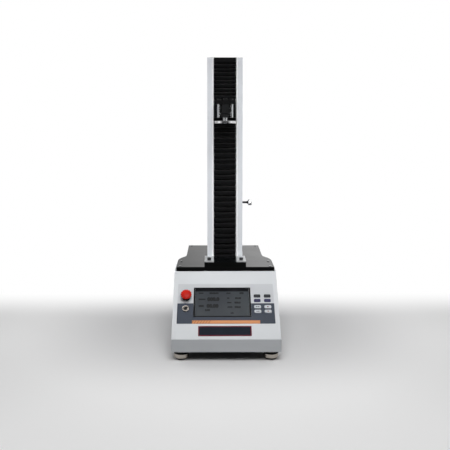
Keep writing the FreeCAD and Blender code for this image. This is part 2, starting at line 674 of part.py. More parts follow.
def make_carriage():
    front, back = carriage_front, channel_back - dim.runner_height
    body = new_body("carriage")
    add_feature(body, "Pad", dim.crosshead_height, lift=crosshead_bottom,
                loops=[rectangle(-dim.carriage_width / 2, front, dim.carriage_width / 2, back)],
                circles=[(ZERO, screw_y, dim.nut_diameter / 2 + dim.running_gap)])
    keep("carriage", body)
    bore = dim.screw_diameter / 2 + dim.running_gap
    nut = new_body("ball_nut")
    add_feature(nut, "Pad", dim.nut_flange_thickness,
                circles=[(ZERO, ZERO, dim.nut_flange / 2), (ZERO, ZERO, bore)])
    add_feature(nut, "Pad", dim.nut_length - dim.nut_flange_thickness, lift=dim.nut_flange_thickness,
                circles=[(ZERO, ZERO, dim.nut_diameter / 2), (ZERO, ZERO, bore)])
    keep("ball_nut", place(nut, y=screw_y, z=crosshead_bottom - dim.nut_flange_thickness))


def make_arm():
    """The bracket that comes out between the two bellows, with its posts, screws, load cell and platen."""
    root_y, reach_y = column_front - dim.arm_root_front, column_front - dim.arm_reach
    plate_z, fillet = crosshead_top - dim.arm_plate, dim.arm_fillet
    body = new_body("crosshead_arm")
    side_view = [(root_y, crosshead_bottom), (carriage_front, crosshead_bottom), (carriage_front, crosshead_top),
                 (reach_y, crosshead_top), (reach_y, plate_z), (root_y - fillet, plate_z, -fillet),
                 (root_y, plate_z - fillet)]
    add_feature(body, "Pad", dim.arm_width, loops=[side_view], plane="YZ", lift=-dim.arm_width / 2)
    narrow, wide = dim.arm_front_width / 2, dim.arm_width / 2
    add_feature(body, "Pocket", dim.crosshead_height, lift=crosshead_top, loops=[
        rectangle(side * narrow, reach_y, side * wide, root_y) for side in (-1, 1)])
    bolt = dim.stem_thread / 2
    add_feature(body, "Pocket", dim.arm_plate, lift=crosshead_top, circles=[
        (x, test_axis_y, bolt + dim.fit_gap) for x in (-dim.post_offset, ZERO, dim.post_offset)])
    keep("crosshead_arm", body)

    length = plate_z - crosshead_bottom
    nut_top = dim.post_nut_height
    posts, fixings = [], []
    for side in (-1, 1):
        post = new_body("post")
        turn(post, [(0, -length), (dim.post_diameter / 2, -length), (dim.post_diameter / 2, 0), (bolt, 0),
                    (bolt, dim.arm_plate + nut_top), (0, dim.arm_plate + nut_top)])
        posts.append(place(post, side * dim.post_offset, test_axis_y, plate_z))
        nut = new_body("post_nut")
        add_feature(nut, "Pad", nut_top, loops=[hexagon(dim.post_nut)],
                    circles=[(ZERO, ZERO, bolt + dim.running_gap)])
        fixings.append(place(nut, side * dim.post_offset, test_axis_y, crosshead_top))
    fixings.append(socket_screw(dim.column_screw_head, dim.column_screw_height, dim.stem_thread,
                                dim.arm_plate + dim.stem_grip, (ZERO, test_axis_y, crosshead_top)))
    group("overload_posts", posts)
    group("crosshead_fixings", fixings)


def make_load_cell():
    """An S-shaped cell: two slots from opposite sides, and a hole through the web between them."""
    height = dim.crosshead_height - dim.arm_plate
    front, back = test_axis_y - dim.cell_depth / 2, test_axis_y + dim.cell_depth / 2
    low, high = crosshead_bottom, crosshead_bottom + height
    edge, slot = dim.cell_slot_edge, dim.cell_slot
    body = new_body("load_cell")
    add_feature(body, "Pad", dim.cell_width, plane="YZ", lift=-dim.cell_width / 2,
                loops=[rectangle(front, low, back, high)])
    add_feature(body, "Pocket", dim.cell_width, plane="YZ", lift=dim.cell_width / 2,
                loops=[rectangle(front, low + edge, back - edge, low + edge + slot),
                       rectangle(front + edge, high - edge - slot, back, high - edge)],
                circles=[(test_axis_y, (low + high) / 2, dim.cell_hole / 2)])
    thread, grip = dim.stem_thread / 2 + dim.fit_gap, dim.stem_grip + dim.fit_gap
    add_feature(body, "Pocket", grip, lift=high, circles=[(ZERO, test_axis_y, thread)])
    add_feature(body, "Pocket", grip, lift=low, reverse=True, circles=[(ZERO, test_axis_y, thread)])
    keep("load_cell", body)

    stem = new_body("load_stem")
    radius, thread = dim.stem_diameter / 2, dim.stem_thread / 2
    turn(stem, [(0, -dim.stem_length), (radius, -dim.stem_length), (radius, 0), (thread, 0),
                (thread, dim.stem_grip), (0, dim.stem_grip)])
    keep("load_stem", place(stem, y=test_axis_y, z=crosshead_bottom))
    platen = new_body("compression_platen")
    radius, edge, thickness = dim.platen_diameter / 2, dim.platen_edge, dim.platen_thickness
    turn(platen, [(0, -thickness), (radius - edge, -thickness), (radius, edge - thickness),
                  (radius, -edge), (radius - edge, 0), (0, 0)])
    keep("compression_platen", place(platen, y=test_axis_y, z=crosshead_bottom - dim.stem_length))


# Drive

def make_screw():
    thread, lower, upper = dim.screw_diameter / 2, dim.lower_journal / 2, dim.upper_journal / 2
    bottom = dim.pulley_level - dim.flange_lip
    start = column_foot + dim.thread_start
    seat = column_top - dim.top_plate_thickness
    end, top = seat - dim.thread_start, seat + dim.upper_bearing_height
    screw = new_body("ball_screw")
    turn(screw, [(0, bottom), (lower, bottom), (lower, start), (thread, start), (thread, end),
                 (upper, end), (upper, top), (0, top)])
    keep("ball_screw", place(screw, y=screw_y))

    block_low = base_top - dim.wall - dim.bearing_block_height
    block = new_body("bearing_block")
    add_feature(block, "Pad", dim.bearing_block_height, lift=block_low,
                loops=[centred(dim.bearing_block_width, dim.bearing_block_width, ZERO, screw_y)],
                circles=[(ZERO, screw_y, dim.journal_hole / 2)])
    add_feature(block, "Pocket", dim.lower_bearing_height, reverse=True, lift=block_low,
                circles=[(ZERO, screw_y, dim.lower_bearing_diameter / 2 + dim.running_gap)])
    keep("bearing_block", block)
    group("screw_bearings", [
        ring(dim.lower_bearing_diameter / 2, lower + dim.running_gap, block_low, dim.lower_bearing_height,
             y=screw_y),
        ring(dim.upper_bearing_diameter / 2, upper + dim.running_gap, seat, dim.upper_bearing_height,
             y=screw_y)])


def pulley_radius(teeth):
    """Outer radius of a pulley, half a tooth depth inside the pitch line."""
    return teeth * dim.tooth_pitch / (2 * math.pi) - dim.tooth_depth / 2


def make_pulley(label, teeth, y, bore=None, shaft=None):
    """A toothed pulley with a lip above and below the belt, on a bore or with its own shaft."""
    radius, lip = pulley_radius(teeth), dim.flange_lip
    body = new_body(label)
    add_feature(body, "Pad", dim.belt_width + 2 * lip, circles=[(ZERO, ZERO, radius)])
    half_tooth = dim.tooth_pitch / 4
    tooth = add_feature(body, "Pocket", dim.belt_width + 2 * lip, lift=dim.belt_width + 2 * lip, loops=[[
        (radius - dim.tooth_depth, -half_tooth / 2), (radius + dim.tooth_depth, -half_tooth),
        (radius + dim.tooth_depth, half_tooth), (radius - dim.tooth_depth, half_tooth / 2)]])
    repeat(body, tooth, "PolarPattern", "Z", teeth)
    for low in (ZERO, dim.belt_width + lip):
        add_feature(body, "Pad", lip, circles=[(ZERO, ZERO, radius + lip)], lift=low)
    if bore is not None:
        add_feature(body, "Pocket", dim.belt_width + 2 * lip, lift=dim.belt_width + 2 * lip,
                    circles=[(ZERO, ZERO, bore)])
    if shaft is not None:
        add_feature(body, "Pad", shaft_drop + lip, circles=[(ZERO, ZERO, shaft)], lift=-shaft_drop)
    keep(label, place(body, y=y, z=dim.pulley_level - lip))


def make_belt():
    """A belt round both pulleys: two tangent runs and the arcs between them."""
    apart = dim.motor_setback
    loops = []
    for cover in (dim.belt_gap + dim.belt_thickness, dim.belt_gap):
        large, small = pulley_radius(dim.screw_teeth) + cover, pulley_radius(dim.motor_teeth) + cover
        tilt = (large - small) / apart
        reach = root(1 - tilt * tilt)
        loops.append([
            (large * reach, screw_y + large * tilt), (small * reach, motor_y + small * tilt, small),
            (ZERO, motor_y + small, small), (-small * reach, motor_y + small * tilt),
            (-large * reach, screw_y + large * tilt, large), (ZERO, screw_y - large, large)])
    body = new_body("timing_belt")
    add_feature(body, "Pad", dim.belt_width - 2 * dim.fit_gap, loops=loops, lift=dim.pulley_level + dim.fit_gap)
    keep("timing_belt", body)


def make_motor():
    """The motor hung under a U bracket that is fixed to the console's top wall."""
    shaft, pilot = dim.motor_shaft / 2, dim.motor_pilot / 2
    body = new_body("drive_motor")
    add_feature(body, "Pad", dim.motor_height, lift=-dim.motor_height,
                loops=[rounded(dim.motor_width, dim.motor_width, dim.motor_corner)])
    add_feature(body, "Pad", dim.bracket_plate / 2, circles=[(ZERO, ZERO, pilot)])
    add_feature(body, "Pocket", dim.motor_height / 2, lift=dim.bracket_plate / 2,
                circles=[(ZERO, ZERO, shaft + dim.running_gap)])
    keep("drive_motor", place(body, y=motor_y, z=bracket_low))

    inner = dim.motor_width / 2 + dim.bracket_side
    outer, ceiling = inner + dim.bracket_side, base_top - dim.wall
    floor = bracket_low + dim.bracket_plate
    bracket = new_body("motor_bracket")
    add_feature(bracket, "Pad", dim.bracket_depth, plane="XZ", lift=-motor_y - dim.bracket_depth / 2, loops=[[
        (-outer, bracket_low), (outer, bracket_low), (outer, ceiling), (inner, ceiling), (inner, floor),
        (-inner, floor), (-inner, ceiling), (-outer, ceiling)]])
    add_feature(bracket, "Pocket", dim.bracket_plate, lift=floor,
                circles=[(ZERO, motor_y, pilot + dim.running_gap)])
    keep("motor_bracket", bracket)


def make_electronics():
    floor = dim.foot_height + dim.bottom_thickness
    supply = new_body("power_supply")
    left, front = dim.supply_x - dim.supply_width / 2, front_y + dim.supply_y
    add_feature(supply, "Pad", dim.supply_height, lift=floor,
                loops=[rectangle(left, front, left + dim.supply_width, front + dim.supply_length)])
    keep("power_supply", supply)

    board = new_body("control_board")
    middle = front_y + dim.board_y + dim.board_length / 2
    level = floor + dim.board_lift
    inset_x = dim.board_width / 2 - dim.standoff_inset
    inset_y = dim.board_length / 2 - dim.standoff_inset
    add_feature(board, "Pad", dim.board_thickness, lift=level,
                loops=[centred(dim.board_width, dim.board_length, dim.board_x, middle)])
    add_feature(board, "Pad", dim.board_lift, lift=floor, circles=[
        (dim.board_x + i * inset_x, middle + j * inset_y, dim.standoff_diameter / 2)
        for i in (-1, 1) for j in (-1, 1)])
    parts_level = level + dim.board_thickness
    add_feature(board, "Pad", dim.chip_height, lift=parts_level, loops=[
        centred(dim.chip_size, dim.chip_size, dim.board_x + i * dim.chip_size, middle)
        for i in (-1, 1)])
    add_feature(board, "Pad", dim.terminal_height, lift=parts_level, loops=[
        centred(dim.terminal_width, dim.terminal_depth, dim.board_x, middle - inset_y + dim.standoff_inset)])
    keep("control_board", board)


def make_inlet():
    """A recessed three-pin mains inlet in the rear panel."""
    x, z, wall = dim.inlet_x, dim.inlet_z, dim.inlet_wall
    mouth = rear_y + dim.inlet_flange
    body = new_body("power_inlet")
    add_feature(body, "Pad", dim.inlet_flange, reverse=True, plane="XZ", lift=-rear_y,
                loops=[rounded(dim.inlet_flange_width, dim.inlet_flange_height, wall, x, z)])
    add_feature(body, "Pad", dim.inlet_depth, plane="XZ", lift=-rear_y,
                loops=[centred(dim.inlet_width, dim.inlet_height, x, z)])
    add_feature(body, "Pocket", dim.inlet_cavity_depth, reverse=True, plane="XZ", lift=-mouth,
                loops=[centred(dim.inlet_width - 2 * wall, dim.inlet_height - 2 * wall, x, z)])
    pins = [centred(dim.pin_width, dim.pin_height, x + column * dim.pin_spread, z + abs(column) * -dim.pin_height / 2
                    + (1 - abs(column)) * dim.pin_height / 2) for column in (-1, 0, 1)]
    add_feature(body, "Pad", dim.pin_length, reverse=True, plane="XZ",
                lift=dim.inlet_cavity_depth - mouth, loops=pins)
    keep("power_inlet", body)


# Pieces on the control slope, each drawn flat and then stood on the slope

def make_overlay():
    middle = (dim.overlay_low + dim.overlay_high) / 2
    gap = 2 * dim.key_gap
    holes = [centred(dim.bezel_width + 2 * dim.fit_gap, dim.bezel_height + 2 * dim.fit_gap,
                     dim.screen_x, dim.screen_s - middle)]
    holes += [rounded(dim.key_width + gap, dim.key_height + gap, dim.key_corner, x, along - middle)
              for x, along in key_places()]
    body = new_body("control_overlay")
    add_feature(body, "Pad", dim.overlay_thickness,
                loops=[rounded(dim.overlay_width, dim.overlay_high - dim.overlay_low, dim.overlay_corner)] + holes,
                circles=[(dim.estop_x, dim.estop_s - middle, dim.estop_barrel / 2 + dim.fit_gap),
                         (dim.switch_x, dim.switch_s - middle, dim.switch_barrel / 2 + dim.fit_gap)])
    keep("control_overlay", place_on_slope(body, ZERO, middle))


def make_display():
    """A frame round the front glass, which lies over the window, and the module behind it."""
    inner_width, inner_height = dim.bezel_width - 2 * dim.bezel_side, dim.bezel_height - 2 * dim.bezel_top
    face = dim.overlay_thickness + dim.bezel_lip
    bezel = new_body("display_bezel")
    add_feature(bezel, "Pad", face, loops=[centred(dim.bezel_width, dim.bezel_height),
                                           centred(inner_width, inner_height)])
    keep("display_bezel", place_on_slope(bezel, dim.screen_x, dim.screen_s))
    glass = new_body("display_screen")
    add_feature(glass, "Pad", face - dim.glass_recess, loops=[
        centred(inner_width - 2 * dim.fit_gap, inner_height - 2 * dim.fit_gap)])
    keep("display_screen", place_on_slope(glass, dim.screen_x, dim.screen_s))
    module = new_body("display_module")
    width, height = window_size()
    depth = dim.wall + dim.module_depth
    add_feature(module, "Pad", depth, lift=-depth, loops=[
        centred(width - 2 * dim.fit_gap, height - 2 * dim.fit_gap)])
    keep("display_module", place_on_slope(module, dim.screen_x, dim.screen_s))


def make_keys():
    """Eight push keys, and the board with a switch under each."""
    proud = dim.overlay_thickness + dim.key_proud
    for number, (x, along) in enumerate(key_places(), start=1):
        label = f"key_{number}"
        key = new_body(label)
        add_feature(key, "Pad", proud + dim.key_depth, lift=-dim.key_depth,
                    loops=[rounded(dim.key_width, dim.key_height, dim.key_corner)])
        keep(label, place_on_slope(key, x, along))

    places = key_places()
    (first_x, first_s), (last_x, last_s) = places[0], places[-1]
    middle_x, middle_s = (first_x + last_x) / 2, (first_s + last_s) / 2
    width = last_x - first_x + dim.key_width + 2 * dim.keypad_margin
    height = first_s - last_s + dim.key_height + 2 * dim.keypad_margin
    switch_top = -dim.key_depth - dim.key_travel - dim.fit_gap
    board_top = switch_top - dim.switch_height
    board = new_body("keypad_board")
    add_feature(board, "Pad", dim.board_thickness, lift=board_top - dim.board_thickness,
                loops=[centred(width, height)])
    add_feature(board, "Pad", dim.switch_height, lift=board_top, loops=[
        centred(dim.switch_size, dim.switch_size, x - middle_x, along - middle_s) for x, along in places])
    post = dim.keypad_post / 2
    add_feature(board, "Pad", -dim.wall - board_top, lift=board_top, circles=[
        (i * (width / 2 - post), j * (height / 2 - post), post) for i in (-1, 1) for j in (-1, 1)])
    keep("keypad_board", place_on_slope(board, middle_x, middle_s))


def make_estop():
    """A push-to-stop head on a collar; the barrel goes through the panel to the contact block."""
    seat, collar_top = dim.overlay_thickness, dim.overlay_thickness + dim.estop_collar_height
    barrel_low = -dim.wall - dim.estop_barrel_depth
    stem = dim.estop_stem / 2
    bore_depth = collar_top + dim.wall + dim.estop_barrel_depth / 2
    body = new_body("estop_body")
    add_feature(body, "Pad", dim.estop_collar_height, lift=seat, circles=[(ZERO, ZERO, dim.estop_collar / 2)])
    add_feature(body, "Pad", seat - barrel_low, lift=barrel_low, circles=[(ZERO, ZERO, dim.estop_barrel / 2)])
    add_feature(body, "Pad", dim.estop_nut_height, lift=-dim.wall - dim.estop_nut_height,
                loops=[hexagon(dim.estop_nut)])
    add_feature(body, "Pad", dim.estop_block_depth, lift=barrel_low - dim.estop_block_depth,
                loops=[centred(dim.estop_block_width, dim.estop_block_height)])
    add_feature(body, "Pocket", bore_depth, lift=collar_top, circles=[(ZERO, ZERO, stem + dim.running_gap)])
    keep("estop_body", place_on_slope(body, dim.estop_x, dim.estop_s))

    under = collar_top + dim.estop_travel + dim.fit_gap
    stem_low, socket = collar_top - bore_depth + dim.estop_travel + dim.fit_gap, under + dim.estop_socket
    plunger = new_body("estop_stem")
    add_feature(plunger, "Pad", socket - dim.fit_gap - stem_low, lift=stem_low, circles=[(ZERO, ZERO, stem)])
    keep("estop_stem", place_on_slope(plunger, dim.estop_x, dim.estop_s))
    radius, top, hole = dim.estop_head_diameter / 2, under + dim.estop_head_thickness, stem + dim.running_gap
    rim, shoulder = under + dim.estop_skirt, top - dim.estop_dome
    head = new_body("estop_head")
    turn(head, [(hole, under), (radius - dim.estop_skirt, under), (radius, rim), (radius, shoulder),
                (dim.estop_crown_diameter / 2, top), (0, top), (0, socket), (hole, socket)])
    keep("estop_head", place_on_slope(head, dim.estop_x, dim.estop_s))


def make_key_switch():
    """The lock switch: a bezel and barrel, and the core that the key turns."""
    seat, top = dim.overlay_thickness, dim.overlay_thickness + dim.switch_bezel_height
    barrel_low = -dim.wall - dim.switch_barrel_depth
    core = dim.core_diameter / 2
    body = new_body("key_switch_body")
    add_feature(body, "Pad", dim.switch_bezel_height, lift=seat, circles=[(ZERO, ZERO, dim.switch_bezel / 2)])
    add_feature(body, "Pad", seat - barrel_low, lift=barrel_low, circles=[(ZERO, ZERO, dim.switch_barrel / 2)])
    add_feature(body, "Pad", dim.switch_nut_height, lift=-dim.wall - dim.switch_nut_height,
                loops=[hexagon(dim.switch_nut)])
    add_feature(body, "Pocket", dim.core_depth + dim.fit_gap, lift=top,
                circles=[(ZERO, ZERO, core + dim.running_gap)])
    keep("key_switch_body", place_on_slope(body, dim.switch_x, dim.switch_s))
    cylinder = new_body("key_switch_core")
    add_feature(cylinder, "Pad", dim.core_depth + dim.core_proud, lift=top - dim.core_depth,
                circles=[(ZERO, ZERO, core)])
    add_feature(cylinder, "Pocket", dim.keyway_depth, lift=top + dim.core_proud,
                loops=[centred(dim.keyway_width, dim.keyway_length)])
    keep("key_switch_core", place_on_slope(cylinder, dim.switch_x, dim.switch_s))


def make_name_plate():
    body = new_body("name_plate")
    add_feature(body, "Pad", dim.plate_thickness,
                loops=[rounded(dim.plate_width, dim.plate_height, dim.plate_corner)])
    keep("name_plate", place_on_slope(body, dim.plate_x, dim.plate_s))


stop_y = column_front + dim.column_depth / 2
carriage_front = channel_back - dim.runner_height - dim.carriage_depth
bracket_low = dim.pulley_level - 2 * dim.flange_lip - dim.bracket_gap - dim.bracket_plate
shaft_drop = dim.bracket_gap + dim.bracket_plate + dim.shaft_grip

make_base_housing()
make_rear_panel()
make_bottom_plate()
make_feet()
make_table()
make_column()
make_limit_stop()
make_guides()
make_bellows("lower_bellows", block_top, crosshead_bottom, dim.lower_pleats, dim.lower_pleats)
make_bellows("upper_bellows", crosshead_top, column_top - dim.top_plate_thickness,
             dim.upper_pleats, dim.upper_pleats)
make_carriage()
make_arm()
make_load_cell()
make_screw()
make_pulley("screw_pulley", dim.screw_teeth, screw_y, bore=dim.lower_journal / 2 + dim.running_gap)
make_pulley("motor_pulley", dim.motor_teeth, motor_y, shaft=dim.motor_shaft / 2)
make_belt()
make_motor()
make_electronics()
make_inlet()
make_overlay()
make_display()
make_keys()
make_estop()
make_key_switch()
make_name_plate()

document.recompute()

for thing in document.Objects:
    if "Invalid" in thing.State or "Error" in thing.State:
        raise RuntimeError(f"{thing.Name} ({thing.Label}) could not be made: {thing.State}")
for label, thing in nodes.items():
    if thing.Shape.isNull() or not thing.Shape.isValid():
        raise RuntimeError(f"{label} has no valid shape")

os.makedirs("parts", exist_ok=True)
for label, thing in nodes.items():
    thing.Shape.exportStep(f"parts/{label}.step")
print(len(nodes), "pieces written")
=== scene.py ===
# Looks for the force test stand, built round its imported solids. Metres, +Z up, the same frame as the solids.
import math
import bpy
import numpy as np
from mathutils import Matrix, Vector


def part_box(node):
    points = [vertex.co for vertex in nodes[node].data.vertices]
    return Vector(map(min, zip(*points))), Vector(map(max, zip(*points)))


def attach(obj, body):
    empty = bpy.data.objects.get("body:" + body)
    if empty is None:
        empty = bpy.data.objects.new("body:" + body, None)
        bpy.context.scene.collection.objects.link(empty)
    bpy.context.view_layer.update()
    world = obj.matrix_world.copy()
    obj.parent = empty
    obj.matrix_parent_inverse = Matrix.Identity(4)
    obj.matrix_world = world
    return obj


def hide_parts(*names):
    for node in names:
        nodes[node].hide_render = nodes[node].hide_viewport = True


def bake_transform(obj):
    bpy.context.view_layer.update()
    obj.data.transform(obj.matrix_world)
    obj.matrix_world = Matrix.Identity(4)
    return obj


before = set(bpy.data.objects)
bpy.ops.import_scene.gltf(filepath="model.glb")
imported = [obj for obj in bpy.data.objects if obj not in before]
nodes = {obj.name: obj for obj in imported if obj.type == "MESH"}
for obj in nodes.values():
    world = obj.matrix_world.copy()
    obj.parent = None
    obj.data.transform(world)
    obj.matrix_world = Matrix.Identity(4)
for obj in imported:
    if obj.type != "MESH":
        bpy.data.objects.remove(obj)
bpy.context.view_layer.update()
millimetre = 0.001
noiseSpan = (0.35, 0.65)  # where most of a noise texture's values lie


def linear(hexColour):
    # sRGB hex to linear red, green, blue and alpha
    parts = [int(hexColour[i:i + 2], 16) / 255 for i in (1, 3, 5)]
    return [p / 12.92 if p <= 0.04045 else ((p + 0.055) / 1.055) ** 2.4 for p in parts] + [1.0]


def addNode(tree, kind, inputs=None, **settings):
    # One node. An input takes a number, an sRGB hex colour, an output socket, or a node, and then it takes
    # that node's first output in use.
    node = tree.nodes.new("ShaderNode" + kind)
    for key, value in settings.items():
        setattr(node, key, value)
    for key, value in (inputs or {}).items():
        if isinstance(value, bpy.types.Node):
            value = next(socket for socket in value.outputs if socket.enabled)
        if isinstance(value, bpy.types.NodeSocket):
            tree.links.new(value, node.inputs[key])
        else:
            node.inputs[key].default_value = linear(value) if isinstance(value, str) else value
    return node


def newMaterial(name, colour, roughness, metallic=0.0, **sockets):
    # a plain material; further sockets are named with underscores for their spaces
    material = bpy.data.materials.new(name)
    material.use_nodes = True
    shader = material.node_tree.nodes["Principled BSDF"]
    shader.inputs["Base Color"].default_value = linear(colour)
    shader.inputs["Roughness"].default_value = roughness
    shader.inputs["Metallic"].default_value = metallic
    for key, value in sockets.items():
        shader.inputs[key.replace("_", " ")].default_value = value
    return material


def partsOf(material):
    # its tree, its shader and the place on the piece, in metres in the stand's own frame
    tree = material.node_tree
    return tree, tree.nodes["Principled BSDF"], addNode(tree, "TexCoord").outputs["Object"]


def noiseScale(size):
    # noise whose features are size millimetres wide
    return 1 / (size * millimetre)


def waveScale(pitch):
    # a wave texture repeats every pi / 10 units, so this gives one band for each pitch in millimetres
    return math.pi / 10 / (pitch * millimetre)


def addGrain(material, size, height, scale=(1, 1, 1)):
    # fine relief: noise whose features are about size millimetres wide and height millimetres tall
    tree, shader, place = partsOf(material)
    drawn = addNode(tree, "Mapping", {"Vector": place, "Scale": scale})
    noise = addNode(tree, "TexNoise", {"Vector": drawn, "Scale": noiseScale(size), "Detail": 3.0})
    bump = addNode(tree, "Bump", {"Height": noise, "Strength": 1.0, "Distance": height * millimetre})
    tree.links.new(bump.outputs[0], shader.inputs["Normal"])


def addClouding(material, colours, size):
    # slow change between two near colours, size millimetres across
    tree, shader, place = partsOf(material)
    noise = addNode(tree, "TexNoise", {"Vector": place, "Scale": noiseScale(size), "Detail": 2.0})
    ramp = addNode(tree, "ValToRGB", {"Fac": noise})
    for stop, hexColour, position in zip(ramp.color_ramp.elements, colours, noiseSpan):
        stop.color, stop.position = linear(hexColour), position
    tree.links.new(ramp.outputs["Color"], shader.inputs["Base Color"])


def addSmudges(material, low, high, size):
    # handling marks: roughness drifts between two values over patches size millimetres across
    tree, shader, place = partsOf(material)
    noise = addNode(tree, "TexNoise", {"Vector": place, "Scale": noiseScale(size), "Detail": 4.0})
    spread = addNode(tree, "MapRange", {"Value": noise, "From Min": noiseSpan[0], "From Max": noiseSpan[1],
                                        "To Min": low, "To Max": high})
    tree.links.new(spread.outputs[0], shader.inputs["Roughness"])


# metals, coats and plastics
finishes = {}


def finish(key, name, colours, roughness, metallic=0.0, grain=None, clouds=60.0, smudges=None, **sockets):
    # grain is a relief, clouds the width of slow patches, and smudges how much rougher handling has made it
    material = newMaterial(name, colours[0], roughness, metallic, **sockets)
    if len(colours) > 1:
        addClouding(material, colours, clouds)
    if grain:
        addGrain(material, **grain)
    if smudges:
        addSmudges(material, roughness, roughness + smudges, clouds)
    finishes[key] = material


# Polyester powder coat: baked on sheet steel, a soft satin with a faint orange peel about 1.5 mm wide.
finish("consoleCoat", "texturedPowderCoat", ["#c3c6c9", "#c7cacd"], 0.42,
       grain={"size": 1.5, "height": 0.02}, clouds=120, smudges=0.08)
# The same coat on the extruded column, a little smoother over aluminium.
finish("columnCoat", "satinPowderCoat", ["#d5d8dd", "#dadde2"], 0.36,
       grain={"size": 1.8, "height": 0.012}, clouds=150, smudges=0.08)


# painted highlight on the column's bevelled lips: a near-white band in the coat's colour
lipHighlight = {"inner": 0.0380, "outer": 0.0446, "colour": "#fcfdfe"}


def addLipHighlight(material, lips):
    # the two bevelled lips beside the bellows get a painted highlight: a band of |x| from inner to outer, in
    # metres, coloured near white
    tree, shader, place = partsOf(material)
    right = addNode(tree, "SeparateXYZ", {0: place}).outputs["X"]
    across = addNode(tree, "Math", {0: right}, operation="ABSOLUTE")
    inside = addNode(tree, "Math", {0: across, 1: lips["outer"]}, operation="LESS_THAN")
    beyond = addNode(tree, "Math", {0: across, 1: lips["inner"]}, operation="GREATER_THAN")
    band = addNode(tree, "Math", {0: inside, 1: beyond}, operation="MULTIPLY")
    coat = shader.inputs["Base Color"].links[0].from_socket
    # the near-white colour in the band is the painted highlight
    colour = addNode(tree, "Mix", {"Factor": band, 6: coat, 7: lips["colour"]}, data_type="RGBA")
    tree.links.new(colour.outputs[2], shader.inputs["Base Color"])


addLipHighlight(finishes["columnCoat"], lipHighlight)
# Stove enamel on the steel table: black with a hard gloss that mirrors what stands behind it.
finish("tableEnamel", "blackStoveEnamel", ["#090b0c", "#0c0e10"], 0.13,
       grain={"size": 3.0, "height": 0.004}, clouds=90, smudges=0.06, IOR=1.36)
# The sawn edges of the table and the block are only primed: matt black, where the enamel stops.
finish("primedEdge", "mattBlackPrimer", ["#040505", "#070808"], 0.6, grain={"size": 1.5, "height": 0.02},
       clouds=40, Specular_IOR_Level=0.05)
# Hard anodised aluminium, dyed black: a dry satin that shows its milled grain only close to.
finish("blackAnodised", "blackAnodisedAluminium", ["#070708", "#0a0a0c"], 0.42,
       grain={"size": 0.8, "height": 0.006, "scale": (1, 1, 6)}, clouds=30, Specular_IOR_Level=0.06)
# The same on the load cell, where the wear of handling has left it a shade greyer.
finish("cellAnodised", "greyAnodisedAluminium", ["#141516", "#18191a"], 0.45,
       grain={"size": 0.8, "height": 0.006, "scale": (1, 1, 6)}, clouds=16, Specular_IOR_Level=0.08)
# Steel blacked in a hot salt bath: a dark grey with an oily sheen. On the bottom plate this dark is painted
# shade under the housing.
finish("blackOxide", "blackOxideSteel", ["#0f0f11", "#141416"], 0.42, grain={"size": 0.7, "height": 0.006},
       clouds=5, Specular_IOR_Level=0.15)
# Clear anodised plate with a linisher's grain along X, spaced about 0.5 mm.
finish("clearAnodised", "clearAnodisedAluminium", ["#c3c5c7", "#cdcfd0"], 0.34, 0.85,
       grain={"size": 3.0, "height": 0.008, "scale": (0.08, 6, 6)}, clouds=25, smudges=0.1)
# Aluminium as it left the mill: bright, with the cutter's lines along X.
finish("machined", "milledAluminium", ["#b4b6b8", "#c0c2c3"], 0.38, 1.0,
       grain={"size": 2.0, "height": 0.008, "scale": (0.2, 5, 5)}, clouds=20)
# Hard chrome over polished steel: near mirror, with a trace of wipe marks.
finish("chrome", "hardChromedSteel", ["#d2d3d5", "#dcdddd"], 0.07, 1.0,
       grain={"size": 6.0, "height": 0.003}, clouds=14, smudges=0.07)
# Dull nickel over steel, as on cast fittings: a softer and slightly warm mirror.
finish("dullNickel", "dullNickelPlatedSteel", ["#d6cdc0", "#e0d8cd"], 0.14, 1.0,
       grain={"size": 4.0, "height": 0.012}, clouds=12, smudges=0.1)
# Zinc plated nuts: a cool grey that dulls with age.
finish("fastener", "zincPlatedSteel", ["#8d8f92", "#9b9da0"], 0.3, 1.0,
       grain={"size": 0.7, "height": 0.008}, clouds=5, smudges=0.12)
# Socket screws, blackened and oiled: their worn edges let the grey steel through.
finish("screwSteel", "oiledSocketScrew", ["#3d3e40", "#4a4b4d"], 0.3, 0.9,
       grain={"size": 0.7, "height": 0.008}, clouds=4)
# Bright nickel that has gone a little brown, and still mirrors like glass.
finish("lockNickel", "agedNickelBezel", ["#85807a", "#938e88"], 0.12, 1.0,
       grain={"size": 2.0, "height": 0.004}, clouds=4, smudges=0.1)
# Posts and stem turned from bright bar: a fine lathe grain round them breaks the mirror into soft bands.
finish("turnedBar", "brightTurnedBar", ["#b3b5b7", "#bdbfc1"], 0.2, 1.0,
       grain={"size": 1.2, "height": 0.002, "scale": (0.3, 0.3, 8)}, clouds=9, smudges=0.06)
# Bearing steel ground along its length: grey, with fine lines up and down.
finish("groundSteel", "groundBearingSteel", ["#9a9c9f", "#a8aaad"], 0.24, 1.0,
       grain={"size": 1.6, "height": 0.005, "scale": (6, 6, 0.15)}, clouds=30)
# Injection moulded plastics: spark-eroded texture about 0.6 mm wide, drawn as coarse as it shows.
finish("blackPlastic", "mouldedBlackABS", ["#0b0c0e", "#0f1012"], 0.45, grain={"size": 0.6, "height": 0.012},
       Specular_IOR_Level=0.08)
# Red moulded with a polished tool, so it has the only gloss among them.
finish("stopRed", "glossRedABS", ["#b01c12", "#ba2318"], 0.3, grain={"size": 2.5, "height": 0.006}, clouds=12,
       Specular_IOR_Level=0.09)
# Silicone rubber keys with a fine matt skin, in three colours.
finish("keyDark", "darkSiliconeRubber", ["#1b1e22", "#212429"], 0.5, grain={"size": 0.6, "height": 0.01},
       Specular_IOR_Level=0.2)
finish("keyNavy", "navySiliconeRubber", ["#232346", "#2b2b52"], 0.5, grain={"size": 0.6, "height": 0.01},
       Specular_IOR_Level=0.2)
finish("keyWhite", "whiteSiliconeRubber", ["#aeb3b9", "#b7bbc0"], 0.45, grain={"size": 0.6, "height": 0.01})
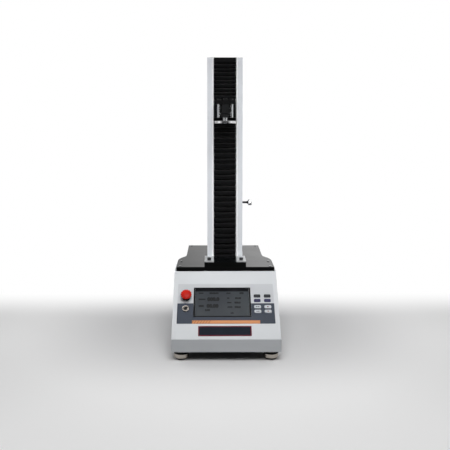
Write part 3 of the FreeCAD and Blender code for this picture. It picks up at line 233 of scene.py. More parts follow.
# Nitrile rubber from a plain mould: dull, nearly black, and faintly rough.
finish("blackRubber", "mouldedNitrileRubber", ["#1a1a1b", "#202021"], 0.7,
       grain={"size": 1.0, "height": 0.02})
# Glass laminate under green solder mask, glossy over its tracks.
finish("circuitBoard", "solderMaskedBoard", ["#15432b", "#194c31"], 0.35, grain={"size": 2.2, "height": 0.03})
# Brass pins plated with nickel: warm white metal.
finish("nickel", "nickelPlatedBrass", ["#c9c3b4", "#d1ccbe"], 0.2, 1.0, grain={"size": 1.0, "height": 0.004})
# Float glass printed black behind: smooth, with wipe marks.
finish("frontGlass", "blackPrintedFrontGlass", ["#121316", "#15161a"], 0.08, clouds=40, smudges=0.1,
       Specular_IOR_Level=0.15)
# Printed aluminium plate: a dark blue field in a dark red border, both satin.
finish("plateField", "bluePrintedPlate", ["#0e1622", "#111a27"], 0.3, clouds=40,
       grain={"size": 1.0, "height": 0.004}, Specular_IOR_Level=0.04)
finish("plateBorder", "redPrintedPlate", ["#5c0f20", "#661425"], 0.3, clouds=20,
       grain={"size": 1.0, "height": 0.004}, Specular_IOR_Level=0.04)
print("plain finishes made:", len(finishes))

# The slope that carries the controls: a flat sheet leaning back from its lower edge.
slope = {"foot": np.array([0.0, -0.29425, 0.070]), "run": 0.185, "rise": 0.172}
slopeLength = math.hypot(slope["run"], slope["rise"])
slopeUp = np.array([0.0, slope["run"], slope["rise"]]) / slopeLength
slopeOut = np.array([0.0, -slope["rise"], slope["run"]]) / slopeLength


def onSlope(points):
    # (x, distance up the slope, height off it) to the stand's own frame
    axes = np.array([[1.0, 0.0, 0.0], slopeUp, slopeOut])
    return slope["foot"] + np.asarray(points, float) @ axes


overlayPrint = {"field": ("#b4b6ba", "#c0c3c6"), "band": ("#363c47", "#3d4450"), "bandTop": 0.1277,
                "stripe": "#cb8a5c", "stripeTop": 0.0659, "stripeHalf": 0.1075, "unevenness": 111,
                "hatch": "#a0673f", "hatchEnd": -0.048, "hatchPitch": 0.0090, "hatchShare": 0.3,
                "hatchSlant": -0.6}


def makeOverlayFinish(design):
    # Polycarbonate film printed on its back: a light field above, a dark band below and an orange line along
    # the foot, hatched at its left end, all under a satin that hides the lamps.
    # The height up the slope is the dot product of the place with the slope's direction.
    material = newMaterial("printedPolycarbonateFilm", design["field"][0], 0.4, Specular_IOR_Level=0.12)
    addGrain(material, size=0.7, height=0.006)
    tree, shader, place = partsOf(material)
    lowered = addNode(tree, "VectorMath", {0: place, 1: slope["foot"]}, operation="SUBTRACT")
    height = addNode(tree, "VectorMath", {0: lowered, 1: slopeUp}, operation="DOT_PRODUCT")
    across = addNode(tree, "SeparateXYZ", {0: place}).outputs["X"]
    noise = addNode(tree, "TexNoise", {"Vector": place, "Scale": noiseScale(design["unevenness"]),
                                       "Detail": 2.0})
    field, band = (addNode(tree, "Mix", {"Factor": noise, 6: first, 7: second}, data_type="RGBA")
                   for first, second in (design["field"], design["band"]))
    inBand = addNode(tree, "Math", {0: height, 1: design["bandTop"]}, operation="LESS_THAN")
    ground = addNode(tree, "Mix", {"Factor": inBand, 6: field, 7: band}, data_type="RGBA")

    # the hatch: slanting strips, each a share of the pitch wide, left of an end
    slanted = addNode(tree, "Math", {0: height, 1: design["hatchSlant"], 2: across}, operation="MULTIPLY_ADD")
    turns = addNode(tree, "Math", {0: slanted, 1: design["hatchPitch"]}, operation="DIVIDE")
    phase = addNode(tree, "Math", {0: turns}, operation="FRACT")
    inStrip = addNode(tree, "Math", {0: phase, 1: design["hatchShare"]}, operation="LESS_THAN")
    atLeft = addNode(tree, "Math", {0: across, 1: design["hatchEnd"]}, operation="LESS_THAN")
    hatched = addNode(tree, "Math", {0: inStrip, 1: atLeft}, operation="MULTIPLY")
    stripe = addNode(tree, "Mix", {"Factor": hatched, 6: design["stripe"], 7: design["hatch"]},
                     data_type="RGBA")

    low = addNode(tree, "Math", {0: height, 1: design["stripeTop"]}, operation="LESS_THAN")
    aside = addNode(tree, "Math", {0: across}, operation="ABSOLUTE")
    between = addNode(tree, "Math", {0: aside, 1: design["stripeHalf"]}, operation="LESS_THAN")
    inStripe = addNode(tree, "Math", {0: low, 1: between}, operation="MULTIPLY")
    colour = addNode(tree, "Mix", {"Factor": inStripe, 6: ground, 7: stripe}, data_type="RGBA")
    tree.links.new(colour.outputs[2], shader.inputs["Base Color"])
    return material


finishes["overlayFilm"] = makeOverlayFinish(overlayPrint)


cloth = {"colours": ("#0a0a0c", "#0f0f11"), "threadPitch": 1.0, "threadHeight": 0.05, "sheen": 0.11}


def makeClothFinish(weave):
    # Polyester cloth coated with black polyurethane: a dull plain weave whose slanting faces catch a little
    # light. Its threads are drawn 1.0 mm apart so that they show.
    material = newMaterial("coatedPolyesterCloth", weave["colours"][0], 0.9, Specular_IOR_Level=0.03,
                           Sheen_Weight=weave["sheen"])
    addClouding(material, weave["colours"], 18.0)
    tree, shader, place = partsOf(material)
    wave = {"Vector": place, "Scale": waveScale(weave["threadPitch"]), "Distortion": 0.3}
    warp, weft = (addNode(tree, "TexWave", wave, wave_type="BANDS", bands_direction=direction).outputs["Fac"]
                  for direction in ("X", "Z"))
    upper = addNode(tree, "Math", {0: warp, 1: weft}, operation="MAXIMUM")
    bump = addNode(tree, "Bump", {"Height": upper, "Strength": 1.0,
                                  "Distance": weave["threadHeight"] * millimetre})
    tree.links.new(bump.outputs[0], shader.inputs["Normal"])
    return material


finishes["cloth"] = makeClothFinish(cloth)

turnedPlate = {"axis": (0.0, -0.07925, 0.0), "ringPitch": 0.8, "ringHeight": 0.004}


def makeTurnedFinish(lathe):
    # Chromed plate faced on a lathe: rings about its own axis, drawn 0.8 mm apart, spread its highlights.
    material = newMaterial("turnedChromedPlate", "#d4d5d6", 0.12, 1.0)
    addClouding(material, ("#cdced0", "#d9dadb"), 16.0)
    tree, shader, place = partsOf(material)
    centred = addNode(tree, "Mapping", {"Vector": place, "Location": [-c for c in lathe["axis"]]})
    wave = {"Vector": centred, "Scale": waveScale(lathe["ringPitch"]), "Distortion": 0.2}
    rings = addNode(tree, "TexWave", wave, wave_type="RINGS", rings_direction="Z").outputs["Fac"]
    bump = addNode(tree, "Bump", {"Height": rings, "Strength": 1.0,
                                  "Distance": lathe["ringHeight"] * millimetre})
    tree.links.new(bump.outputs[0], shader.inputs["Normal"])
    return material


finishes["turned"] = makeTurnedFinish(turnedPlate)

nodeFinish = {
    "consoleCoat": ["base_housing", "rear_panel"],
    "columnCoat": ["column_extrusion"],
    "tableEnamel": ["table_plate", "column_base_block"],
    "blackAnodised": ["crosshead_arm", "top_bearing_plate"],
    "cellAnodised": ["load_cell"],
    # the bottom plate is blacked as painted shade: it darkens the gap under the housing and what the feet
    # mirror of it
    "blackOxide": ["crosshead_fixings", "key_switch_core", "bottom_plate"],
    "clearAnodised": ["column_feet", "column_end_caps"],
    "machined": ["carriage", "screw_pulley", "stop_slider", "bearing_block"],
    "chrome": ["stop_thumbscrew", "table_screws"],
    "lockNickel": ["key_switch_body"],
    "dullNickel": ["foot_front_left", "foot_front_right", "foot_rear_left", "foot_rear_right"],
    "turnedBar": ["overload_posts", "load_stem"],
    "turned": ["compression_platen"],
    "fastener": ["foot_locknuts"],
    "screwSteel": ["column_screws"],
    "groundSteel": ["guide_rails", "rail_runners", "ball_nut", "ball_screw", "screw_bearings", "motor_pulley",
                    "motor_bracket", "power_supply"],
    "blackPlastic": ["display_bezel", "display_module", "estop_body", "estop_stem", "power_inlet",
                     "drive_motor"],
    "frontGlass": ["display_screen"],
    "overlayFilm": ["control_overlay"],
    "cloth": ["upper_bellows", "lower_bellows"],
    "blackRubber": ["timing_belt"],
    "circuitBoard": ["control_board", "keypad_board"],
    "stopRed": ["estop_head"],
    "plateBorder": ["name_plate"],
    "keyDark": ["key_1", "key_5"], "keyNavy": ["key_2", "key_6"],
    "keyWhite": ["key_3", "key_4", "key_7", "key_8"],
}
for key, labels in nodeFinish.items():
    for label in labels:
        mesh = nodes[label].data
        mesh.materials.clear()
        mesh.materials.append(finishes[key])
for label in ("table_plate", "column_base_block"):
    mesh = nodes[label].data
    mesh.materials.append(finishes["primedEdge"])
    normals = np.empty(len(mesh.polygons) * 3)
    mesh.polygons.foreach_get("normal", normals)
    upright = np.abs(normals[2::3]) < 0.5  # faces that stand up, by the height of their normals
    mesh.polygons.foreach_set("material_index", upright.astype(int))
print("solids finished:", sum(len(labels) for labels in nodeFinish.values()))


def addPiece(name, points, faces, body, key, smooth=True):
    # a mesh from whole arrays, riding on one body, with its finish
    mesh = bpy.data.meshes.new(name)
    mesh.from_pydata(points.reshape(-1, 3).tolist(), [], faces)
    mesh.materials.append(finishes[key])
    mesh.polygons.foreach_set("use_smooth", np.full(len(mesh.polygons), smooth))
    mesh.update()
    piece = bpy.data.objects.new(name, mesh)
    bpy.context.scene.collection.objects.link(piece)
    if body:
        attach(piece, body)
    return piece


def gridFaces(rows, columns, closeColumns=False, flip=False):
    # quads between neighbouring rows and columns of a grid of points
    r = np.arange(rows - 1)[:, None]
    c = np.arange(columns if closeColumns else columns - 1)[None, :]
    after = (c + 1) % columns
    low, high = r * columns, (r + 1) * columns
    quads = np.stack([low + c, low + after, high + after, high + c], -1)
    quads = quads.reshape(-1, 4)
    return (quads[:, ::-1] if flip else quads).tolist()


def asPlaced(points):
    # points that are in the stand's own frame already
    return points


def turnedRings(profile, sides, ripple=None):
    # Surface of revolution: each (radius, height) of a profile turned about Z. ripple(angle, profile) gives a
    # factor on the radius, for flutes and knurls.
    angle = np.linspace(0, 2 * np.pi, sides, endpoint=False)
    radius, height = (profile[:, column:column + 1] * np.ones((1, sides)) for column in (0, 1))
    if ripple is not None:
        radius = radius * ripple(angle[None, :], profile)
    return np.stack([radius * np.cos(angle), radius * np.sin(angle), height], -1)


poleRadius = 0.00005  # where a turned profile meets its axis


def roundTube(name, profile, centre, body, key, sides=64, ripple=None, frameOf=asPlaced):
    # a profile that starts and ends at the axis, turned about Z through centre and capped at both ends
    profile = np.asarray(profile, float)
    local = turnedRings(profile, sides, ripple)
    faces = gridFaces(len(profile), sides, closeColumns=True)
    for row, flip in ((0, True), (len(profile) - 1, False)):
        ring = np.arange(row * sides, (row + 1) * sides)
        faces.append((ring[::-1] if flip else ring).tolist())
    return addPiece(name, frameOf(local + np.asarray(centre, float)), faces, body, key)


def closedRing(name, profile, centre, body, key, sides=72, frameOf=asPlaced):
    # a closed outline of (radius, height) turned about Z, joined end to end in both directions
    profile = np.asarray(profile, float)
    local = turnedRings(profile, sides) + np.asarray(centre, float)
    rows = len(profile)
    wrapped = np.array(gridFaces(rows + 1, sides, closeColumns=True)) % (rows * sides)
    return addPiece(name, frameOf(local), wrapped.tolist(), body, key)


def stackedLoops(name, rings, body, key, frameOf=asPlaced, flip=False):
    # a solid skinned through loops of equal length, with its first and last loop as its end faces
    count = rings.shape[1]
    first, last = np.arange(count), np.arange(count) + (len(rings) - 1) * count
    faces = gridFaces(len(rings), count, closeColumns=True, flip=flip)
    faces += [(first if flip else first[::-1]).tolist(), (last[::-1] if flip else last).tolist()]
    return addPiece(name, frameOf(rings), faces, body, key, smooth=False)


def roundedLoop(width, height, radius, corner=5):
    # outline of a rectangle with quarter-circle corners, anticlockwise
    turn = np.linspace(0, np.pi / 2, corner)
    loops = []
    for index, (sx, sy) in enumerate(((1, -1), (1, 1), (-1, 1), (-1, -1))):
        angle = turn + (index - 1) * np.pi / 2
        loops.append(np.stack([sx * (width / 2 - radius) + radius * np.cos(angle),
                               sy * (height / 2 - radius) + radius * np.sin(angle)], -1))
    return np.concatenate(loops)


def cushionPlate(name, size, levels, centre, body, key, frameOf=onSlope):
    # A rounded plate built of outlines, each drawn in by its first number and lifted by its second.
    width, height, radius = size
    rings = []
    for inset, lift in levels:
        loop = roundedLoop(width - 2 * inset, height - 2 * inset, max(radius - inset, 0.00005))
        rings.append(np.column_stack([loop, np.full(len(loop), lift)]))
    local = np.stack(rings) + np.asarray(centre, float)
    return stackedLoops(name, local, body, key, frameOf)


def flatPlate(name, size, centre, thickness, body, key):
    # a thin plate on the slope whose top edge is chamfered by three tenths of its thickness
    edge = thickness * 0.3
    levels = [(0, 0), (0, thickness - edge), (edge, thickness)]
    return cushionPlate(name, size, levels, centre, body, key)


# bellows
bellows = {"halfWidth": 0.0379, "outer": -0.0015, "inner": 0.0238, "cloth": 0.0011, "samples": 14,
           "columns": 22, "sharpness": 0.93, "fullness": 3.4, "crestDrift": 0.0007, "pitchDrift": 0.12,
           "bow": 0.0008, "edgeFrom": 0.9, "edgeCurve": 60, "edgeDepth": 0.004}


def makeBellows(name, low, high, pleats, movingEnd, seed):
    # Folded cloth: depth is a rounded triangle wave of the height, the arc cosine of a damped cosine, raised
    # to a power that fills out the crests. Every fold's crest and pitch drift a little, as sewn folds do.
    # Each crest bows downward as a parabola, and near the side edges it is drawn back along a circle.
    shape = bellows
    draw = np.random.default_rng(seed)
    t = np.linspace(0, pleats, pleats * shape["samples"] + 1)
    wave = np.arccos(shape["sharpness"] * np.cos(2 * np.pi * t)) / np.pi
    wave = ((wave - wave.min()) / (wave.max() - wave.min())) ** shape["fullness"]
    fold = np.minimum(t.astype(int), pleats - 1)
    crest = draw.uniform(0, shape["crestDrift"], pleats)[fold] * (1 - wave)
    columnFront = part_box("column_extrusion")[0][1]
    depth = columnFront + shape["outer"] + crest + wave * (shape["inner"] - shape["outer"])
    across = np.linspace(-1, 1, shape["columns"])
    bow = shape["bow"] * draw.uniform(0.2, 1.0, pleats)[fold] * (1 - wave)
    bow = bow[:, None] * (1 - across ** 2)[None, :]
    x = across[None, :] * shape["halfWidth"] * np.ones((len(t), 1))
    pitch = (high - low) / pleats
    z = low + (high - low) * t / pleats
    z = z + shape["pitchDrift"] * pitch * np.sin(np.pi * (t % 1)) * draw.uniform(-1, 1, pleats)[fold]
    z = np.clip(z, low + shape["cloth"] / 2, high - shape["cloth"] / 2)
    past = np.clip(np.abs(across) - shape["edgeFrom"], 0, 1)
    drop = (1 - np.sqrt(np.clip(1 - past ** 2 * shape["edgeCurve"], 0, 1))) * shape["edgeDepth"]
    y = depth[:, None] + drop[None, :] * (1 - wave)[:, None]
    points = np.stack([x, y, z[:, None] - bow], -1)
    piece = addPiece(name, points, gridFaces(len(t), shape["columns"]), None, "cloth")
    wall = piece.modifiers.new("cloth", "SOLIDIFY")
    wall.thickness, wall.offset = shape["cloth"], 0.0
    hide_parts("upper_bellows" if movingEnd == "low" else "lower_bellows")
    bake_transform(piece)


for label, name, pleats, movingEnd, seed in (("upper_bellows", "upperBellows", 10, "low", 3),
                                             ("lower_bellows", "lowerBellows", 26, "high", 8)):
    (_, _, low), (_, _, high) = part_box(label)
    makeBellows(name, low, high, pleats, movingEnd, seed)
print("bellows folded")

# cover strip over the bearing plate, level with the column's end caps
cover = {"gap": 0.0001, "corner": 0.0004, "levels": [(0, 0), (0, 0.0016), (0.0003, 0.0019)]}
(coverLeft, coverFront, _), (coverRight, coverBack, coverSeat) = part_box("top_bearing_plate")
coverSize = (coverRight - coverLeft - 2 * cover["gap"], coverBack - coverFront - 2 * cover["gap"],
             cover["corner"])
coverPlace = ((coverLeft + coverRight) / 2, (coverFront + coverBack) / 2, coverSeat)
cushionPlate("topCover", coverSize, cover["levels"], coverPlace, "root", "blackAnodised",
             frameOf=asPlaced)

# stop button
stopButton = {"radius": 0.018, "height": 0.0105, "flutes": 14, "fluteDepth": 0.11, "crown": 0.0036,
              "crownReach": 0.96, "crownPower": 2.4, "neck": 0.0076, "skirt": 0.0002}
turnArrow = {"count": 3, "first": 0.3, "sweep": 1.25, "radius": 0.0092, "halfWidth": 0.0010,
             "headHalfWidth": 0.0027, "headFrom": 0.7, "proud": 0.0004, "sunk": 0.0006}


def placeOnSlope(label):
    # (x, distance up the slope, height off it) of the middle of a solid that stands on the slope
    low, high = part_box(label)
    middle = (np.array(low) + np.array(high)) / 2
    away = middle - slope["foot"]
    return middle[0], away @ slopeUp, away @ slopeOut


stopX, stopUp, stopMiddle = placeOnSlope("estop_head")
stopSeat = stopMiddle - stopButton["height"] / 2


def makeStopHead(shape):
    # Mushroom head: an underside that flares from the stem, a rim fluted by a squared cosine of the angle,
    # and a crown that falls from its middle as a power of the radius.
    r, h, skirt = shape["radius"], shape["height"], shape["skirt"]
    crown = np.linspace(1.0, 0.0, 14)
    rim = [(shape["neck"], skirt), (0.72 * r, skirt), (0.93 * r, 0.0020), (r, 0.0038),
           (r, h - shape["crown"] - 0.0006)]
    top = [(r * shape["crownReach"] * c, h - shape["crown"] * c ** shape["crownPower"]) for c in crown]
    top[-1] = (poleRadius, h)
    profile = np.array(rim + top) + np.array([0.0, stopSeat])

    def flute(angle, rows):
        edge = np.clip((rows[:, 0:1] - 0.6 * r) / (0.35 * r), 0, 1)
        return 1 - shape["fluteDepth"] * edge * (0.5 - 0.5 * np.cos(shape["flutes"] * angle)) ** 2

    head = roundTube("stopHead", profile, (stopX, stopUp, 0), "estop_cap", "stopRed",
                     sides=192, ripple=flute, frameOf=onSlope)
    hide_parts("estop_head")


makeStopHead(stopButton)


def makeTurnArrow(index, arrow, head):
    # A raised arrow on the crown: a band along an arc that widens into a head, following the crown's fall.
    start = index * 2 * np.pi / arrow["count"] + arrow["first"]
    t = np.linspace(0, 1, 15)
    angle = start + arrow["sweep"] * t
    taper = arrow["headHalfWidth"] * (1 - t) / (1 - arrow["headFrom"]) + poleRadius
    half = np.where(t < arrow["headFrom"], arrow["halfWidth"], taper)
    rows = []
    for side, lift in ((-1, -arrow["sunk"]), (-1, arrow["proud"]), (1, arrow["proud"]), (1, -arrow["sunk"])):
        radius = arrow["radius"] + side * half
        fall = head["crown"] * (radius / (head["crownReach"] * head["radius"])) ** head["crownPower"]
        rows.append(np.stack([stopX + radius * np.cos(angle), stopUp + radius * np.sin(angle),
                              stopSeat + head["height"] - fall + lift], -1))
    stackedLoops(f"turnArrow_{index + 1}", np.stack(rows, 1), "estop_cap", "stopRed", onSlope)


for index in range(turnArrow["count"]):
    makeTurnArrow(index, turnArrow, stopButton)
print("stop button made")

# display
display = {"x": -0.0115, "face": 0.00145, "activeWidth": 0.1738, "activeLow": 0.0815, "activeHigh": 0.1722,
           "corner": 0.0006, "film": 0.00012, "textLift": 0.00026, "textWeight": 0.085}
# A lit display behind glass: a soft dark grey field, and ink that stays nearly black.
finish("screenField", "litDisplayField", ["#33373c", "#393e42"], 0.25, clouds=80, Specular_IOR_Level=0.12)
finish("screenInk", "displayInk", ["#0b0c0f", "#101114"], 0.3, clouds=20, Specular_IOR_Level=0.12)


def displayBar(name, x, up, width, height, key, lift=0.0):
    # a thin plate on the display's face, x to the right of the display's middle line
    flatPlate(name, (width, height, display["corner"]), (display["x"] + x, up, display["face"] + lift),
              display["film"], "root", key)


def makeReadout(name, text, x, up, size):
    # generic digits, turned into a mesh before they are laid on the slope
    curve = bpy.data.curves.new(name, "FONT")
    curve.body, curve.size = text, 1.0
    curve.offset = display["textWeight"]
    carrier = bpy.data.objects.new(name + "Curve", curve)
    bpy.context.scene.collection.objects.link(carrier)
    bpy.context.view_layer.update()
    mesh = bpy.data.meshes.new_from_object(carrier.evaluated_get(bpy.context.evaluated_depsgraph_get()))
    points = np.empty(len(mesh.vertices) * 3)
    mesh.vertices.foreach_get("co", points)
    faces = [list(p.vertices) for p in mesh.polygons]
    bpy.data.objects.remove(carrier)
    bpy.data.meshes.remove(mesh)
    points = points.reshape(-1, 3) * size
    points[:, :2] += (display["x"] + x, up)
    points[:, 2] = display["face"] + display["textLift"]
    addPiece(name, onSlope(points), faces, "root", "screenInk", False)


middle = (display["activeLow"] + display["activeHigh"]) / 2
displayBar("screenField", 0, middle, display["activeWidth"], display["activeHigh"] - display["activeLow"],
           "screenField")
# name, text, place across, place up the slope and height of the digits
readouts = [("forceDigits", "000.0", -0.0475, 0.1370, 0.0170),
            ("peakDigits", "00.00", -0.0495, 0.1120, 0.0165),
            ("clockDigits", "00:00:00", -0.0410, 0.1625, 0.0085),
            ("countDigits", "000", 0.0570, 0.1625, 0.0085),
            ("speedDigits", "00.00", 0.0420, 0.1435, 0.0085),
            ("strokeDigits", "000.0", 0.0400, 0.1270, 0.0085),
            ("limitDigits", "000.0", 0.0400, 0.1105, 0.0085),
            ("gainDigits", "0.00", -0.0550, 0.0995, 0.0090),
            ("pageDigits", "1/2", 0.0260, 0.0890, 0.0075)]
for name, words, x, up, size in readouts:
    makeReadout(name, words, x, up, size)
# captions beside them, as plain bars: place across, place up, width and height
bars = [(-0.0685, 0.1655, 0.015, 0.0045), (0.0205, 0.1655, 0.014, 0.0045), (-0.0650, 0.1425, 0.022, 0.0045),
        (-0.0675, 0.1175, 0.016, 0.0060), (0.0195, 0.1465, 0.008, 0.0045), (0.0230, 0.1300, 0.014, 0.0045),
        (0.0245, 0.1135, 0.016, 0.0045)]
for index, (x, up, width, height) in enumerate(bars, start=1):
    displayBar(f"screenBar_{index}", x, up, width, height, "screenInk", lift=display["film"])
print("display dressed")

# keys
keyPrint = {"face": 0.0031, "sunk": 0.0002, "proud": 0.00012}  # the face is measured from the solid's middle
# Pad printed ink on rubber: flat and dry, a grey that barely shows on the dark keys, a red for the arrows.
finish("markDark", "darkPadPrint", ["#45484d", "#4b4e53"], 0.5, clouds=8)
finish("markPale", "greyPadPrint", ["#33363c", "#383b41"], 0.5, clouds=8, Specular_IOR_Level=0.2)
finish("markRed", "redPadPrint", ["#5e2116", "#69281c"], 0.5, clouds=8)


def keyMark(name, number, corners, key):
    # one flat printed shape on a key's face, given by its corners in millimetres
    x, up, middle = placeOnSlope(f"key_{number}")
    loop = np.array(corners, float) * millimetre + (x, up)
    rings = np.stack([np.column_stack([loop, np.full(len(loop), middle + keyPrint["face"] + lift)])
                      for lift in (-keyPrint["sunk"], keyPrint["proud"])])
    stackedLoops(name, rings, f"key_body_{number}", key, onSlope)


def bar(left, low, right, high):
    # the corners of an upright rectangle, anticlockwise
    return [(left, low), (right, low), (right, high), (left, high)]


longBar, shortBar = [(bar(-6, -0.8, 6, 0.8), "markPale")], [(bar(-4, -0.8, 4, 0.8), "markPale")]
triangleUp, triangleDown = [(-3.6, -2), (3.6, -2), (0, 2.6)], [(-3.6, 2), (0, -2.6), (3.6, 2)]
marks = {1: longBar, 2: shortBar, 5: longBar, 6: shortBar,
         3: [(bar(-6, -1.3, -1, 1.3), "markDark"), (bar(0.5, -1.3, 5.5, 1.3), "markDark")],
         4: [(bar(-4.5, -1.6, -1.5, 1.6), "markDark"), (bar(-0.5, -1.3, 5, 1.3), "markDark")],
         7: [(triangleUp, "markRed")], 8: [(triangleDown, "markRed")]}
for number, shapes in sorted(marks.items()):
    for index, (corners, key) in enumerate(shapes, start=1):
        keyMark(f"keyMark_{number}_{index}", number, corners, key)
print("keys marked")

# plate under the controls
plate = {"x": -0.004, "up": 0.0286, "width": 0.167, "height": 0.0346, "face": 0.001, "border": 0.0035,
         "corner": 0.0008, "thickness": 0.00015}
plateField = (plate["width"] - 2 * plate["border"], plate["height"] - 2 * plate["border"], plate["corner"])
flatPlate("plateField", plateField, (plate["x"], plate["up"], plate["face"]), plate["thickness"], "root",
          "plateField")

# limit stop knob
knob = {"length": 0.0135, "radius": 0.01025, "start": 0.022, "shank": 0.0035, "shankBack": 0.0130,
        "collar": 0.0050, "knurls": 36, "knurlDepth": 0.035}


def makeKnob(shape):
    # Turned knob on its shank, along X: the rim's radius ripples round the axis to form the knurl.
    r, start, end = shape["radius"], shape["start"], shape["start"] + shape["length"]
    (_, lowY, lowZ), (highX, highY, highZ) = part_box("stop_thumbscrew")
    seat = np.array([highX - end, (lowY + highY) / 2, (lowZ + highZ) / 2])

    def turned(points):
        return np.stack([points[..., 2], points[..., 0], points[..., 1]], -1) + seat

    def knurl(angle, rows):
        edge = rows[:, 0:1] > 0.94 * r
        return 1 - shape["knurlDepth"] * edge * (0.5 + 0.5 * np.cos(shape["knurls"] * angle))

    profile = [(poleRadius, start - 0.0005), (0.0052, start - 0.0005), (r * 0.72, start),
               (r * 0.92, start + 0.0006), (r, start + 0.0018), (r, end - 0.0020), (r * 0.95, end - 0.0008),
               (r * 0.86, end - 0.0002), (r * 0.5, end), (r * 0.46, end - 0.0006), (poleRadius, end - 0.0006)]
    piece = roundTube("stopKnob", profile, (0, 0, 0), "stop_knob", "chrome",
                      sides=216, ripple=knurl, frameOf=turned)
    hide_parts("stop_thumbscrew")
    thick, collar = shape["shank"], shape["collar"]
    profile = [(poleRadius, -shape["shankBack"]), (thick, -shape["shankBack"]), (thick, start - 0.0040),
               (collar, start - 0.0032), (collar, start - 0.0006), (poleRadius, start - 0.0006)]
    roundTube("stopShank", profile, (0, 0, 0), "stop_knob", "blackOxide", frameOf=turned)


makeKnob(knob)

# bezel ring of the lock switch
lockRing = {"inner": 0.0066, "outer": 0.0112, "seat": 0.0070, "rise": 0.0014, "depth": 0.0030}


def makeLockRing(shape):
    # a bright ring round the dark lock: a shallow slope up from its rim and a steep one down to the core
    x, up, middle = placeOnSlope("key_switch_core")
    top = middle + shape["seat"]
    low, crown = top - shape["depth"], top + shape["rise"]
    inner, outer = shape["inner"], shape["outer"]
    profile = [(inner, low), (outer - 0.0001, low), (outer - 0.0001, top - 0.0006),
               (outer - 0.0008, top + 0.0002), (outer - 0.0022, crown), (inner + 0.0014, crown),
               (inner + 0.0004, crown - 0.0006), (inner, crown - 0.0016)]
    closedRing("lockRing", profile, (x, up, 0), "root", "lockNickel", frameOf=onSlope)


makeLockRing(lockRing)

# rubber soles of the feet, and black bands round their tops that paint the shade under the housing
sole = {"inner": 0.0150, "low": 0.0158, "high": 0.0194, "height": 0.0032, "bevel": 0.0004}
footShadeBand = {"proud": 0.00015, "low": 0.0184, "shoulder": 0.0216, "top": 0.0231, "wall": 0.0010}


def makeFootTrim(corner):
    # a sole and a black band of painted shade, each a closed outline of (radius, height) turned about the
    # foot's axis
    (lowX, lowY, _), (highX, highY, _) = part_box("foot_" + corner)
    centre = ((lowX + highX) / 2, (lowY + highY) / 2, 0.0)
    profile = [(sole["inner"], 0.0), (sole["low"], 0.0),
               (sole["high"] + sole["bevel"], sole["height"] - sole["bevel"]),
               (sole["high"], sole["height"]), (sole["inner"], sole["height"])]
    closedRing("sole_" + corner, profile, centre, corner + "_foot", "blackRubber")
    # the band: a black ring at the top of the foot, painted shade and painted reflection of the dark underside
    # of the housing
    outer = (highX - lowX) / 2 + footShadeBand["proud"]
    profile = [(outer - footShadeBand["wall"], footShadeBand["low"]), (outer, footShadeBand["low"]),
               (outer, footShadeBand["shoulder"]), (outer - 0.0016, footShadeBand["top"]),
               (outer - 0.0020, footShadeBand["top"])]
    closedRing("footShadeBand_" + corner, profile, centre, corner + "_foot", "blackPlastic")


for corner in ("front_left", "front_right", "rear_left", "rear_right"):
    makeFootTrim(corner)

# contact pins of the mains inlet
inlet = {"pins": ((-0.077, 0.093), (-0.070, 0.097), (-0.063, 0.093)), "width": 0.0023, "height": 0.0043,
         "corner": 0.0004, "back": 0.2766, "shoulder": 0.2878, "tip": 0.2884, "tipShare": 0.8}


def makeInletPin(index, x, z):
    # a flat pin along Y: its outline carried back and drawn in at the tip
    loop = roundedLoop(inlet["width"], inlet["height"], inlet["corner"])
    stations = ((1, inlet["back"]), (1, inlet["shoulder"]), (inlet["tipShare"], inlet["tip"]))
    rings = np.stack([np.column_stack([loop[:, 0] * share + x, np.full(len(loop), y), loop[:, 1] * share + z])
                      for share, y in stations])
    stackedLoops(f"inletPin_{index}", rings, "root", "nickel", flip=True)


for index, (x, z) in enumerate(inlet["pins"], start=1):
    makeInletPin(index, x, z)
print("small trim made")

# studio: pale floor, soft lamps, the photograph's camera
# pale and white are distances from the middle, and behind is a distance back, all in metres
# near is a darker grey painted as shade round the stand; it fades to far over the pale distances
floorPaint = {"near": "#cacacb", "far": "#f3f3f3", "bounce": "#8d8e90", "mirrored": 0.4,
              "middle": (0.0, 0.15, 0.0), "pale": (0.3, 0.8), "behind": (0.15, 0.55), "white": (0.9, 2.0),
              "reach": 6.0}
lampPower = {"key": 13.0, "column": 0.85, "fill": 2.5, "back": 14.0}
room = {"lit": 0.11, "front": 0.05, "side": 0.75, "wallLeft": 0.5, "wallRight": 0.95, "wallTurn": 0.07,
        "frontTo": -0.25, "wallFrom": 0.3, "sideFrom": 0.45, "sideTo": 0.9}
smooth = {"interpolation_type": "SMOOTHSTEP"}  # an S-shaped run between two ends


